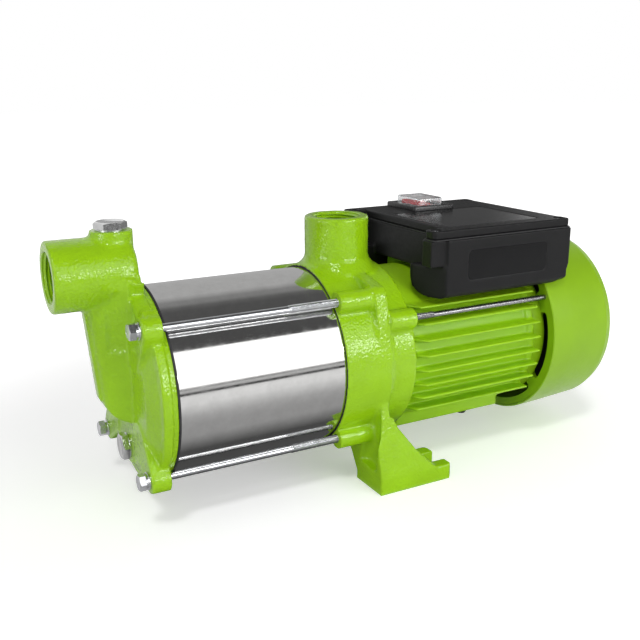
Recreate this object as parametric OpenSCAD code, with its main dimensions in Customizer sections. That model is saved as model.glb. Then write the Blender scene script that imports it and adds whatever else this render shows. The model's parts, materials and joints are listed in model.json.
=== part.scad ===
// Horizontal multistage surface pump, close-coupled to a fan-cooled motor.
// Inside the modules x runs along the shaft from the inner face of the outlet
// casing, towards the motor, and z is measured from the shaft.

/* [Feet] */
// Height of the shaft above the underside of the feet
axis_h = 90; // [88:0.5:105]
// Length of a foot pad along the shaft
foot_len = 62; // [56:1:66]
// Width of a foot pad
foot_w = 35; // [32:1:38]
// Thickness of a foot pad
foot_t = 12; // [10:0.5:14]
// Distance between the outer edges of the feet
foot_span = 151; // [149:1:158]
// Width of the open slot in each pad
slot_w = 14; // [10:0.5:15]
// Length of the open slot, from the end of the pad
slot_len = 27; // [20:1:30]

/* [Stage sleeve] */
// Outer diameter of the stage sleeve
sleeve_d = 130; // [126:0.5:131]
// Wall of the stage sleeve
sleeve_t = 1.5; // [1:0.1:2]
// Depth to which the sleeve enters each casing
sleeve_seat = 4; // [3:0.5:5]
// Thickness of the seal ring under each end of the sleeve
seal_t = 2; // [1.5:0.25:2.5]
// Lip of the seal ring round the sleeve
seal_lip = 0.8; // [0.6:0.1:1]

/* [Stages] */
// Number of stages
stages = 5; // [3:1:6]
// Length of one stage along the shaft
stage_pitch = 21.5; // [20.5:0.25:24]
// Space from the suction casing to the first stage, and behind the last one
end_gap = 6.7; // [6:0.1:9]
// Radial room from an impeller to the sleeve, for the diffuser and its channels
stage_room = 11.5; // [10:0.25:14]
// Diameter of the eye of an impeller, outside its neck
eye_d = 44; // [40:1:46]
// Vanes of an impeller
impeller_vanes = 6; // [5:1:7]
// Return vanes of a diffuser
return_vanes = 8; // [6:1:9]
// Thickness of a vane
vane_t = 1.6; // [1.2:0.1:2]

/* [Casings] */
// Diameter of the flange of the suction casing
suction_flange_d = 138; // [136:0.5:139]
// Thickness of the suction casing at its bolt lugs
suction_flange_t = 17; // [16:0.5:20]
// Diameter of the barrel of the outlet casing
barrel_d = 135; // [134:0.5:137]
// Distance from the sleeve to the flange of the outlet casing
outlet_flange_x = 26; // [25:0.5:28]
// Thickness of the flange of the outlet casing
outlet_flange_t = 10; // [8:0.5:11]
// Diameter of the circle of tie bolts
tie_circle_d = 141.6; // [141:0.2:144]
// Diameter of a bolt lug
lug_d = 18; // [16:0.5:20]

/* [Ports] */
// Outer diameter of a port boss
port_od = 46.8; // [45:0.2:49]
// Bore of a port, at the bottom of its one inch pipe thread
port_bore = 33.2; // [32:0.1:34]
// Length of the thread in a port
port_thread = 18; // [16:0.5:20]
// Height of the inlet above the shaft
inlet_h = 77.8; // [76:0.2:80]
// Distance from the sleeve to the face of the inlet
inlet_reach = 59.3; // [57:0.1:64]
// Height of the face of the outlet above the shaft
outlet_h = 101.9; // [98:0.1:106]
// Distance from the sleeve to the axis of the outlet
outlet_x = 28; // [27:0.5:30]

/* [Bolts and plugs] */
// Thread diameter of a tie bolt
tie_d = 6; // [6]
// Shank diameter of a tie bolt
tie_shank_d = 5.3; // [5:0.1:5.6]
// Size across flats of a tie bolt's head
tie_af = 10; // [10]
// Height of a tie bolt's head
tie_head_h = 4.2; // [4:0.1:5]
// Outer diameter of the washers under a tie bolt
tie_washer_d = 12; // [11:0.5:12.5]
// Length of the thread on a tie bolt
tie_thread = 55; // [40:1:60]
// Depth of the tapped hole in the outlet casing
tie_depth = 20; // [16:0.5:22]
// Thread diameter of the priming plug
prime_d = 14; // [12:1:16]
// Size across flats of the priming plug
prime_af = 19; // [18:0.5:21]
// Thread diameter of the drain plug
drain_d = 10; // [8:1:11]
// Size across flats of the drain plug
drain_af = 17; // [15:0.5:18]
// Thread diameter of a motor through bolt
rod_d = 5; // [4:0.5:5]
// Radius of the circle of motor through bolts
rod_r = 67.6; // [67:0.1:67.8]

/* [Motor] */
// Diameter of the motor bracket
bracket_d = 132; // [130:0.5:134]
// Distance from the sleeve to the motor frame
bracket_end = 57.5; // [56:0.5:60]
// Length of the motor frame
frame_len = 113.5; // [110:0.5:118]
// Diameter of the motor frame between its fins
frame_d = 118; // [116:0.5:119]
// Bore of the motor frame
frame_bore = 101; // [99:0.5:103]
// Diameter over the tips of the fins
fin_d = 137; // [134:0.5:138]
// Thickness of a fin
fin_t = 2; // [1.6:0.1:2.4]
// Distance from fin to fin
fin_pitch = 11.15; // [11:0.05:11.3]
// Fins on each side
fins = 8; // [6:2:8]
// Width of the bottom rail
rail_w = 54; // [46:1:58]
// Depth of the bottom rail below the shaft
rail_h = 63; // [61:0.5:64]
// Length of the stator and rotor stacks
stack_len = 60; // [50:1:64]
// Slots of the stator
stator_slots = 24; // [18:6:24]
// Diameter of the fan cover at its front
cover_d = 146.2; // [145:0.2:149]
// Length of the fan cover
cover_len = 70; // [66:0.5:74]
// Wall of the fan cover
cover_t = 1.6; // [1.4:0.1:1.7]
// Diameter of the fan
fan_d = 110; // [100:1:116]
// Blades of the fan
fan_blades = 8; // [6:1:10]

/* [Terminal box] */
// Width of the terminal box across the motor
box_w = 130; // [128:1:132]
// Length of the middle of the terminal box
box_len = 111.5; // [106:0.5:112]
// Length over the four corners of the terminal box
box_corner_len = 128; // [124:1:132]
// Height of the floor of the terminal box above the shaft
box_floor = 61.7; // [60.5:0.1:63]
// Rise of the box's seam above the fan cover, which leaves room for the cable gland
seam_rise = 14.9; // [14:0.1:18]
// Height of the lid with its seal
lid_h = 7; // [6:0.5:9]
// Depth of the side troughs below the shaft's datum
trough_z = 45; // [44:0.5:46]
// Wall of the terminal box
box_wall = 2.5; // [2:0.1:3]
// Tilt of the rocker to each side
rocker_tilt = 7; // [5:0.5:8]

/* [Hidden] */
$fn = 48;

paint = [0.58, 0.82, 0.04];
steel = [0.75, 0.76, 0.78];
plastic = [0.12, 0.12, 0.12];
rubber = [0.05, 0.05, 0.05];
polymer = [0.85, 0.83, 0.76];

slip = 0.05;     // radial clearance of turned and threaded fits
wear_gap = 0.1;  // radial clearance of an impeller neck in its plate

// Stations along the shaft
sleeve_len = stages * stage_pitch + 2 * end_gap;
x_suction = -sleeve_len;
x_lug_front = x_suction - suction_flange_t;
x_lug_back = x_suction - sleeve_seat;
x_inlet = x_suction - inlet_reach;
x_stage = x_suction + end_gap;
x_flange2 = outlet_flange_x + outlet_flange_t;
x_frame_end = bracket_end + frame_len;
x_cover = x_frame_end + 9;
x_cover_end = x_cover + cover_len;
x_mid = (x_inlet + x_cover_end) / 2;

// Radii of the sleeve and its grooves
sleeve_r = sleeve_d / 2;
sleeve_in = sleeve_r - sleeve_t;
groove_out = sleeve_r + seal_lip + slip;
groove_in = sleeve_in - 3 * slip;
groove_depth = sleeve_seat + seal_t;
impeller_d = 2 * (sleeve_in - stage_room);

// Suction casing
dome_x = x_suction - 15.6;
dome_edge_x = x_suction - 10.2;
dome_r = 50;
recess_r = 60;
channel_x = x_suction - 37.1;
channel_nose_r = 9;
channel_root_r = 5;
channel_top = inlet_h;
channel_low = -8;
channel_low_r = 16;
channel_lean = 5.3;
neck_w = 46;
neck_back = x_suction - 5.6;
prime_x = x_suction - 17.1;
prime_top = inlet_h + 27.2;
prime_boss_d = 27.6;
prime_head_h = 4.5;
prime_len = 12;
drain_z = -45;
drain_boss_d = 25;
drain_head_h = 4.5;
drain_len = 8;
washer_t = 1.2;
spring_washer_t = 1.5;
tie_hole_d = tie_d + 0.6;
flange_step = 0.4;

// Shaft steps
shaft_r = 7;
seal_shaft_r = 8;
front_seat_r = 8.5;
rotor_seat_r = 12.5;
rear_seat_r = 7.5;
fan_seat_r = 6.5;
hub_r = 10;
neck_wall = 4;
front_bearing_x = bracket_end - 16.5;
front_bearing_w = 12;
front_bearing_r = 20;
rear_bearing_x = x_frame_end - 4;
rear_bearing_w = 11;
rear_bearing_r = 17.5;
balls = 8;
cage_half = 4.3;
stack_x = bracket_end + 26.5;
rotor_r = 28;
air_gap = 0.3;
fan_x = x_cover + 10;
fan_w = 22;
shaft_end = fan_x + fan_w + 6;

// Mechanical seal
chamber_end = 22;
seat_w = 4.5;
seat_r = 14;
wall_end = 29;
ring_w = 6;
collar_end = 5;
spring_turns = 5;
spring_wire = 1;

// Through bolts of the motor, seen from the suction end
rod_angles = [30, 150, 270];
rod_head_af = 7;
rod_head_h = 3.5;
rod_boss_r = 7.5;
annulus_t = 4;
cover_gap = 0.25;
annulus_r = cover_d / 2 - cover_t - cover_gap;
shield_slot = 6;
slot_gap = 10.5;
slot_span = 44.8;

// Terminal box
box_x = bracket_end + 26.5;
box_x2 = box_x + box_len;
box_seam = cover_d / 2 + seam_rise;
box_top = box_seam + lid_h;
corner_x = box_x - 15;
corner_x2 = corner_x + box_corner_len;
ear_in = box_w / 2 - 14;
ear_set = 2.5;
ear_len = 13;
oblique = [corner_x + 2.7, 45, 64];
trough_r = 17;
trough_edge_r = 6;
trough_end_r = 18;
trough_y = box_w / 2 - 12;
seal_strip = 0.8;
lid_step = 1;
lid_t = 2.5;
screw_x = 7;
screw_y = 7;
screw_head_r = 3.2;
screw_r = 1.75;
post_r = 4.8;
switch_x = box_x + 48;
switch_y = 44;
bezel = [36, 40, 3.5];
switch_hole = [24, 30];
rocker = [18, 26, 3.2];
rocker_drop = 4;
rocker_pin_r = 1.5;
cover_box = [25, 33, 4.6];
cover_wall = 1;
capacitor_r = 11.5;
capacitor_len = 80;
capacitor_x = box_x + 8;
capacitor_z = trough_z + box_wall + capacitor_r + 2;
end_cut_z = 69;
cover_clear = 0.8;
gland_z = box_seam - 6.8;
gland_r = 5.55;
gland_af = 14;
label = [74, 22.6];
label_z = box_seam - 19.7;
label_depth = 0.6;

// Shaft datum to the base of the feet, centred on the object's length
module placed() {
    translate([-x_mid, 0, axis_h]) children();
}

// Cylinder and tube along the shaft
module x_rod(x0, x1, r) {
    translate([x0, 0, 0]) rotate([0, 90, 0]) cylinder(r = r, h = x1 - x0);
}

module x_tube(x0, x1, outer, inner) {
    difference() {
        x_rod(x0, x1, outer);
        x_rod(x0 - 1, x1 + 1, inner);
    }
}

// Turned shape from points of [x, radius]
module x_turned(points) {
    rotate([0, 90, 0]) rotate_extrude() polygon([for (p = points) [p[1], p[0]]]);
}

// Extrusions of drawings in the [y, z], [x, z] and [x, y] planes
module along_x(x0, x1) {
    translate([x0, 0, 0]) rotate([90, 0, 90]) linear_extrude(x1 - x0) children();
}

module along_y(y0, y1) {
    translate([0, y1, 0]) rotate([90, 0, 0]) linear_extrude(y1 - y0) children();
}

module along_z(z0, z1) {
    translate([0, 0, z0]) linear_extrude(z1 - z0) children();
}

// Outer tangent points of two circles
function tangents(a, ra, b, rb) =
    let (way = atan2(b[1] - a[1], b[0] - a[0]), open = acos((ra - rb) / norm(b - a)))
    [a + ra * [cos(way + open), sin(way + open)],
     b + rb * [cos(way + open), sin(way + open)],
     b + rb * [cos(way - open), sin(way - open)],
     a + ra * [cos(way - open), sin(way - open)]];

// Two circles joined by their tangents, which cut the circles by a hair
module taper_2d(a, ra, b, rb) {
    hair = 0.04;
    translate(a) circle(ra);
    translate(b) circle(rb);
    polygon(tangents(a, ra - hair, b, rb - hair));
}

module ring_2d(outer, inner) {
    difference() {
        circle(outer);
        circle(inner);
    }
}

// Rectangle with round corners, centred
module round_rect_2d(size, r) {
    square([size[0] - 2 * r, size[1]], center = true);
    square([size[0], size[1] - 2 * r], center = true);
    for (sx = [-1, 1], sy = [-1, 1])
        translate([sx * (size[0] / 2 - r), sy * (size[1] / 2 - r)]) circle(r);
}

// Slot along an arc, its round ends a hair wider than the ring between them
module arc_slot_2d(r, w, a0, a1) {
    far = 2 * r;
    mid = (a0 + a1) / 2;
    half = w / 2 - 0.04;
    intersection() {
        ring_2d(r + half, r - half);
        polygon([[0, 0], far * [cos(a0), sin(a0)], far * [cos(mid), sin(mid)],
                 far * [cos(a1), sin(a1)]]);
    }
    for (a = [a0, a1]) rotate(a) translate([r, 0]) circle(w / 2);
}

// Curved blade that crosses the ring between two radii
module vane_2d(r0, r1, arc_r, offset_r) {
    intersection() {
        ring_2d(r1, r0);
        translate([offset_r, 0]) ring_2d(arc_r + vane_t / 2, arc_r - vane_t / 2);
        translate([-2 * r1, 0]) square([4 * r1, 2 * r1]);
    }
}

// Hexagon head along the shaft, flats towards the shaft
module x_hex(x0, x1, af) {
    translate([x0, 0, 0]) rotate([0, 90, 0]) cylinder(r = af / sqrt(3), h = x1 - x0, $fn = 6);
}

module at_tie_bolts() {
    for (a = [45:90:315]) rotate([a, 0, 0]) translate([0, tie_circle_d / 2, 0]) children();
}

module at_rods() {
    for (a = rod_angles) rotate([a, 0, 0]) translate([0, rod_r, 0]) rotate([-a, 0, 0]) children();
}

// Annular groove that takes one end of the sleeve and its seal ring
module sleeve_groove(x0, x1) {
    x_tube(x0, x1, groove_out, groove_in);
}

module inlet_channel_2d() {
    front = channel_x + channel_nose_r - 0.2;
    root = x_suction - 12;
    for (s = [-1, 1]) taper_2d([front, s * 5], channel_nose_r, [root, s * 21], channel_root_r);
    polygon([[front - 5, -5], [front - 5, 5], [root, 21], [root, -21]]);
    translate([channel_x - 2, -5]) square([8, 10]);
}

// Tips the channel forward about its top
module leaning() {
    translate([channel_x - 2.3, 0, channel_top]) rotate([0, -channel_lean, 0])
        translate([-channel_x, 0, -channel_top]) children();
}

module suction_casing() {
    color(paint) placed() difference() {
        union() {
            x_turned([[dome_x, 0], [dome_x, dome_r], [dome_edge_x, suction_flange_d / 2 - 4],
                      [dome_edge_x, suction_flange_d / 2], [x_lug_back, suction_flange_d / 2],
                      [x_lug_back, suction_flange_d / 2 - 1.5],
                      [x_suction, suction_flange_d / 2 - 1.5], [x_suction, 0]]);
            for (a = [45:90:315]) rotate([a, 0, 0]) along_x(x_lug_front, x_lug_back)
                taper_2d([dome_r - 6, 0], lug_d / 2 + 5, [tie_circle_d / 2, 0], lug_d / 2);
            intersection() {
                leaning() intersection() {
                    along_z(channel_low - channel_low_r - 2, channel_top + 9) inlet_channel_2d();
                    along_y(-neck_w, neck_w) union() {
                        translate([channel_x - 3, channel_low])
                            square([channel_low_r * 3, channel_top - channel_low + 8]);
                        translate([channel_x + channel_low_r, channel_low]) circle(channel_low_r);
                        translate([channel_x + channel_low_r, channel_low - channel_low_r])
                            square([channel_low_r, channel_low_r + 1]);
                    }
                }
                along_z(-100, channel_top - 0.6) square(400, center = true);
            }
            along_x(x_suction - 25, neck_back)
                translate([-neck_w / 2, recess_r / 2]) square([neck_w, inlet_h - recess_r / 2]);
            for (s = [0, 1]) mirror([0, s, 0]) along_x(x_lug_front + 3, x_lug_back - 0.6)
                taper_2d([tie_circle_d / 2 * cos(45), tie_circle_d / 2 * sin(45)], lug_d / 2 - 1,
                         [neck_w / 2 + 4, 66], lug_d / 2 - 1);
            translate([0, 0, inlet_h]) x_turned([
                [x_inlet, 0], [x_inlet, port_od / 2 - 0.8], [x_inlet + 0.8, port_od / 2],
                [neck_back - 4.5, port_od / 2], [neck_back - 1.6, port_od / 2 - 1.1],
                [neck_back - 0.2, port_od / 2 - 3.4], [neck_back + 0.6, port_od / 2 - 8],
                [neck_back + 0.6, 0]]);
            translate([prime_x, 0, inlet_h]) cylinder(d = prime_boss_d, h = prime_top - inlet_h);
            translate([0, 0, drain_z]) x_rod(dome_x, x_suction - 8, drain_boss_d / 2);
        }
        x_rod(x_suction - 9, x_suction + 1, recess_r);
        sleeve_groove(x_suction - groove_depth, x_suction + 1);
        translate([0, 0, inlet_h]) x_rod(x_inlet - 1, x_inlet + port_thread, port_bore / 2);
        translate([0, 0, inlet_h]) x_rod(x_inlet, x_suction - 20, port_bore / 2 - 1.8);
        leaning() along_z(-12, inlet_h)
            taper_2d([channel_x + 13, -7], 7, [channel_x + 13, 7], 7);
        x_rod(channel_x + 11, x_suction, 15);
        translate([prime_x, 0, inlet_h]) cylinder(d = prime_d + 2 * slip, h = 30);
        translate([0, 0, drain_z]) x_rod(dome_x - 1, x_suction - 8, drain_d / 2 + slip);
        at_tie_bolts() x_rod(x_lug_front - 1, x_suction + 1, tie_hole_d / 2);
    }
}

module priming_plug() {
    seat = prime_top + washer_t;
    color(steel) placed() translate([prime_x, 0, 0]) difference() {
        union() {
            translate([0, 0, prime_top - prime_len]) cylinder(d = prime_d, h = prime_len + washer_t);
            intersection() {
                translate([0, 0, seat]) cylinder(r = prime_af / sqrt(3), h = prime_head_h, $fn = 6);
                translate([0, 0, seat]) cylinder(r1 = prime_af / 2 + 8, r2 = prime_af / 2 - 0.4,
                                                 h = prime_head_h);
            }
        }
        translate([0, 0, prime_top - prime_len - 1]) cylinder(d = prime_d - 5, h = 7);
    }
}

module priming_washer() {
    color(steel) placed() translate([prime_x, 0, prime_top]) difference() {
        cylinder(d = prime_af + 1, h = washer_t);
        translate([0, 0, -1]) cylinder(d = prime_d + 2 * slip, h = washer_t + 2);
    }
}

module drain_plug() {
    seat = dome_x - washer_t;
    color(steel) placed() translate([0, 0, drain_z]) union() {
        x_rod(seat, seat + drain_len + washer_t, drain_d / 2);
        intersection() {
            x_hex(seat - drain_head_h, seat, drain_af);
            x_turned([[seat - drain_head_h, 0], [seat - drain_head_h, drain_af / 2 - 0.4],
                      [seat, drain_af / 2 + 6], [seat, 0]]);
        }
    }
}

module drain_washer() {
    color(steel) placed() translate([0, 0, drain_z])
        x_tube(dome_x - washer_t, dome_x, drain_af / 2 + 0.5, drain_d / 2 + slip);
}

module sleeve() {
    color(steel) placed()
        x_tube(x_suction - sleeve_seat, sleeve_seat, sleeve_r, sleeve_in);
}

// Ring under the sleeve's end, with a lip that shows round the sleeve
module seal_ring_at(x_bottom, x_seat, x_face) {
    color(rubber) placed() x_turned([
        [x_bottom, groove_in + slip], [x_bottom, groove_out - slip], [x_face, groove_out - slip],
        [x_face, sleeve_r + slip], [x_seat, sleeve_r + slip], [x_seat, groove_in + slip]]);
}

module front_seal_ring() {
    seal_ring_at(x_suction - groove_depth, x_suction - sleeve_seat, x_suction + 0.4);
}

module rear_seal_ring() {
    seal_ring_at(groove_depth, sleeve_seat, 0.4);
}

module tie_bolts() {
    seat = x_lug_front - washer_t - spring_washer_t;
    end = tie_depth - 1;
    color(steel) placed() at_tie_bolts() union() {
        intersection() {
            x_hex(seat - tie_head_h, seat, tie_af);
            x_turned([[seat - tie_head_h, 0], [seat - tie_head_h, tie_af / 2 - 0.3],
                      [seat, tie_af / 2 + 4], [seat, 0]]);
        }
        x_rod(seat, end - tie_thread, tie_shank_d / 2);
        x_rod(end - tie_thread, end, tie_d / 2);
    }
}

module tie_washers() {
    color(steel) placed() at_tie_bolts()
        x_tube(x_lug_front - washer_t, x_lug_front, tie_washer_d / 2, tie_d / 2 + 0.2);
}

module tie_spring_washers() {
    back = x_lug_front - washer_t;
    color(steel) placed() at_tie_bolts() difference() {
        x_tube(back - spring_washer_t, back, tie_af / 2 + 0.4, tie_d / 2 + 0.1);
        translate([back - 2, 0, -0.5]) rotate([20, 0, 0]) cube([4, 10, 1]);
    }
}

// Outline of one foot and leg from the front, on the far side
module leg_2d() {
    half = foot_span / 2;
    inner = half - foot_w;
    polygon([[inner, -axis_h], [half, -axis_h], [half, -axis_h + foot_t], [66.5, -38],
             [60, -10], [30, -10], [18, -60], [31, -69], [inner, -axis_h + foot_t / 2]]);
}

module foot() {
    half = foot_span / 2;
    inner = half - foot_w;
    pad_x = outlet_flange_x - 3.3;
    slot_y = half - foot_w / 2;
    slot_x = pad_x + foot_len - slot_len + slot_w / 2;
    top = foot_t - axis_h;
    difference() {
        union() {
            along_z(-axis_h, top) translate([pad_x + foot_len / 2, slot_y])
                round_rect_2d([foot_len, foot_w], 4);
            along_x(pad_x, x_flange2 - 0.6) leg_2d();
            intersection() {
                along_y(inner, half) polygon([
                    [x_flange2 - 3, -36], [x_flange2 + 2, -36], [x_flange2 + 5.5, -44],
                    [x_flange2 + 18.5, -61.5], [x_flange2 + 34.5, top], [x_flange2 + 34.5, top - 2],
                    [x_flange2 - 3, top - 2]]);
                along_x(pad_x, x_flange2 + 40) polygon([
                    [half - 8.5, top - 3], [half, top - 3], [half, top], [66.5, -38], [66, -30],
                    [56, -30], [59, -42]]);
            }
        }
        translate([pad_x - 7, half - foot_w / 2 - 1.5, top + 4])
            rotate([-7, 0, 0]) cylinder(r = 13, h = 60);
        along_z(-axis_h - 1, top + 1) {
            translate([slot_x, slot_y]) circle(slot_w / 2);
            translate([slot_x, slot_y - slot_w / 2]) square([slot_len, slot_w]);
        }
    }
}

module outlet_casing() {
    barrel_r = barrel_d / 2;
    bracket_r = bracket_d / 2;
    color(paint) placed() difference() {
        union() {
            x_rod(0, outlet_flange_x + 2, barrel_r);
            x_tube(-end_gap, 1, groove_in - 0.2, recess_r);
            x_turned([[x_flange2 - 1, 0], [x_flange2 - 1, bracket_r], [bracket_end - 1, bracket_r],
                      [bracket_end, bracket_r - 1], [bracket_end, 0]]);
            for (a = [45, 135]) rotate([a, 0, 0]) along_x(outlet_flange_x, x_flange2)
                taper_2d([0, 0], barrel_r + flange_step, [tie_circle_d / 2, 0], lug_d / 2);
            at_tie_bolts() x_rod(0, outlet_flange_x + 1, lug_d / 2 - 1.5);
            at_rods() x_rod(x_flange2 - 1, bracket_end, rod_boss_r);
            translate([outlet_x, 0, 0]) cylinder(d = port_od, h = outlet_h - 0.8);
            translate([outlet_x, 0, outlet_h - 0.8])
                cylinder(d1 = port_od, d2 = port_od - 1.6, h = 0.8);
            translate([outlet_x, 0, barrel_r - 5])
                cylinder(d1 = port_od + 14, d2 = port_od, h = 9);
            for (s = [0, 1]) mirror([0, s, 0]) foot();
        }
        sleeve_groove(-1, groove_depth);
        x_rod(-1, chamber_end - 4, recess_r - 2);
        x_rod(-1, chamber_end, recess_r - 14);
        x_rod(chamber_end - 1, chamber_end + seat_w, seat_r + slip);
        x_rod(chamber_end, wall_end + 1, seal_shaft_r + 1);
        x_rod(wall_end, front_bearing_x - 3, 24);
        x_rod(wall_end, bracket_end + 1, front_seat_r + 3);
        x_rod(front_bearing_x, bracket_end + 1, front_bearing_r + slip);
        x_tube(front_bearing_x + 3, bracket_end + 1, 50, 26);
        x_rod(bracket_end - 4, bracket_end + 1, frame_bore / 2 + 4 + slip);
        translate([outlet_x, 0, outlet_h - port_thread]) cylinder(d = port_bore, h = port_thread + 1);
        translate([outlet_x, 0, outlet_h - port_thread - 16])
            cylinder(d = port_bore - 3.6, h = 20);
        translate([outlet_x - 14, 0, recess_r - 16]) rotate([0, 25, 0])
            cylinder(r = 9, h = outlet_h - recess_r);
        at_tie_bolts() x_rod(-1, tie_depth, tie_d / 2 + slip);
        at_rods() x_rod(x_flange2 + 4, bracket_end + 1, rod_d / 2 + slip);
    }
}

// Plate with the first eye, between the suction casing and the first stage
module inlet_plate() {
    color(polymer) placed()
        x_tube(x_suction, x_stage, sleeve_in - 0.2, eye_d / 2 + wear_gap);
}

module impeller(i) {
    x0 = x_stage + (i - 1) * stage_pitch;
    r = impeller_d / 2;
    neck = eye_d / 2;
    color(polymer) placed() difference() {
        union() {
            x_tube(x0, x0 + stage_pitch, hub_r, shaft_r + 0.02);
            x_tube(x0 + 8.6, x0 + 10.2, r, shaft_r + 0.02);
            x_turned([[x0 - 2.6, neck - neck_wall + 1], [x0 - 2.6, neck], [x0 + 0.8, neck],
                      [x0 + 1.6, r], [x0 + 3.2, r], [x0 + 3.2, neck - neck_wall + 1]]);
            along_x(x0 + 3, x0 + 9) for (k = [1:impeller_vanes])
                rotate(k * 360 / impeller_vanes) vane_2d(neck - 2, r - 0.5, 0.62 * r, 0.5 * r);
        }
    }
}

module diffuser(i) {
    x0 = x_stage + (i - 1) * stage_pitch;
    outer = sleeve_in - 0.2;
    inner = impeller_d / 2 + 6.5;
    guide_r = impeller_d / 2 + 2.5;
    back = x0 + stage_pitch;
    eye = i < stages ? eye_d / 2 + wear_gap : guide_r - 4;
    color(polymer) placed() union() {
        x_tube(x0, back, outer, inner);
        x_tube(x0 + 11, x0 + 13, guide_r, hub_r + wear_gap);
        x_tube(back - 2.2, back, inner + 1, eye);
        along_x(x0 + 12.9, back - 2.1) for (k = [1:return_vanes])
            rotate(k * 360 / return_vanes) vane_2d(eye_d / 2 + 3, guide_r - 0.8, 0.7 * guide_r, 0.62 * guide_r);
    }
}

module shaft() {
    x0 = x_stage - 12;
    seal_x = 0 - end_gap;
    fx = front_bearing_x - 0.2;
    rx = rear_bearing_x + rear_bearing_w + 0.2;
    color(steel) placed() x_turned([
        [x0, 0], [x0, shaft_r - 2], [x0 + 1, shaft_r - 1], [x_stage, shaft_r - 1],
        [x_stage, shaft_r], [seal_x, shaft_r], [seal_x, seal_shaft_r], [fx, seal_shaft_r],
        [fx, front_seat_r], [fx + front_bearing_w + 0.4, front_seat_r],
        [fx + front_bearing_w + 0.4, rotor_seat_r], [rear_bearing_x - 0.2, rotor_seat_r],
        [rear_bearing_x - 0.2, rear_seat_r], [rx, rear_seat_r], [rx, fan_seat_r],
        [shaft_end - 1, fan_seat_r], [shaft_end, fan_seat_r - 1], [shaft_end, 0]]);
}

module impeller_nut() {
    color(steel) placed() difference() {
        x_hex(x_stage - 8, x_stage, 18);
        x_rod(x_stage - 9, x_stage + 1, shaft_r - 1 + 0.02);
    }
}

module seal_collar() {
    color(steel) placed() x_tube(-end_gap, collar_end, hub_r + 1, seal_shaft_r + 0.02);
}

module seal_seat() {
    color([0.9, 0.9, 0.86]) placed()
        x_tube(chamber_end, chamber_end + seat_w, seat_r, seal_shaft_r + 0.6);
}

module seal_ring() {
    color(rubber) placed() union() {
        x_tube(chamber_end - ring_w, chamber_end - 0.05, 12, seal_shaft_r + 0.02);
        x_tube(chamber_end - ring_w, chamber_end - ring_w + 1.5, 13, seal_shaft_r + 0.02);
    }
}

// Coil spring between the collar and the rotating ring
module seal_spring() {
    x0 = collar_end + spring_wire + 0.05;
    x1 = chamber_end - ring_w - spring_wire - 0.05;
    steps = 12;
    sides = 6;
    total = spring_turns * steps;
    mean_r = hub_r + 0.6;
    rows = [for (i = [0:total]) [for (k = [0:sides - 1])
        let (a = i * 360 / steps, b = k * 360 / sides,
             rr = mean_r + spring_wire * cos(b))
        [x0 + (x1 - x0) * i / total + spring_wire * sin(b), rr * cos(a), rr * sin(a)]]];
    points = [for (row = rows) each row];
    faces = concat(
        [[for (k = [0:sides - 1]) k]],
        [[for (k = [0:sides - 1]) total * sides + sides - 1 - k]],
        [for (i = [0:total - 1], k = [0:sides - 1])
            [i * sides + k, (i + 1) * sides + k, (i + 1) * sides + (k + 1) % sides]],
        [for (i = [0:total - 1], k = [0:sides - 1])
            [i * sides + k, (i + 1) * sides + (k + 1) % sides, i * sides + (k + 1) % sides]]);
    color(steel) placed() polyhedron(points, faces);
}

module slinger() {
    color(rubber) placed() x_turned([
        [wall_end + 2, seal_shaft_r + 0.02], [wall_end + 2, 15], [wall_end + 3.2, 15],
        [wall_end + 3.2, 11], [wall_end + 6, 11], [wall_end + 6, seal_shaft_r + 0.02]]);
}

// Deep groove ball bearing, as functions of its start, width and radii
function ball_r(w) = 0.28 * w;

module race(x0, w, r_out, r_in, pitch_r) {
    color(steel) placed() difference() {
        x_tube(x0, x0 + w, r_out, r_in);
        rotate([0, 90, 0]) rotate_extrude() translate([pitch_r, x0 + w / 2])
            circle(ball_r(w) + slip);
    }
}

module ball_set(x0, w, pitch_r) {
    color(steel) placed() for (k = [1:balls]) rotate([k * 360 / balls, 0, 0])
        translate([x0 + w / 2, pitch_r, 0]) sphere(ball_r(w));
}

module cage(x0, w, pitch_r) {
    color([0.75, 0.6, 0.3]) placed() difference() {
        x_tube(x0 + w / 2 - cage_half, x0 + w / 2 + cage_half, pitch_r + 0.8, pitch_r - 0.8);
        for (k = [1:balls]) rotate([k * 360 / balls, 0, 0])
            translate([x0 + w / 2, pitch_r - 5, 0]) rotate([-90, 0, 0])
                cylinder(r = ball_r(w) + slip, h = 10);
    }
}

front_pitch_r = (front_bearing_r + front_seat_r) / 2;
rear_pitch_r = (rear_bearing_r + rear_seat_r) / 2;
land = 2.2;

module front_bearing_outer() {
    race(front_bearing_x, front_bearing_w, front_bearing_r, front_pitch_r + land, front_pitch_r);
}

module front_bearing_inner() {
    race(front_bearing_x, front_bearing_w, front_pitch_r - land, front_seat_r + 0.02,
         front_pitch_r);
}

module front_bearing_balls() {
    ball_set(front_bearing_x, front_bearing_w, front_pitch_r);
}

module front_bearing_cage() {
    cage(front_bearing_x, front_bearing_w, front_pitch_r);
}

module rear_bearing_outer() {
    race(rear_bearing_x, rear_bearing_w, rear_bearing_r, rear_pitch_r + land, rear_pitch_r);
}

module rear_bearing_inner() {
    race(rear_bearing_x, rear_bearing_w, rear_pitch_r - land, rear_seat_r + 0.02, rear_pitch_r);
}

module rear_bearing_balls() {
    ball_set(rear_bearing_x, rear_bearing_w, rear_pitch_r);
}

module rear_bearing_cage() {
    cage(rear_bearing_x, rear_bearing_w, rear_pitch_r);
}

module rotor_core() {
    ring = 6;
    color([0.6, 0.6, 0.62]) placed() union() {
        x_tube(stack_x, stack_x + stack_len, rotor_r, rotor_seat_r + 0.02);
        x_tube(stack_x - ring, stack_x + stack_len + ring, rotor_r - 0.5, rotor_r - 8);
    }
}

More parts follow.
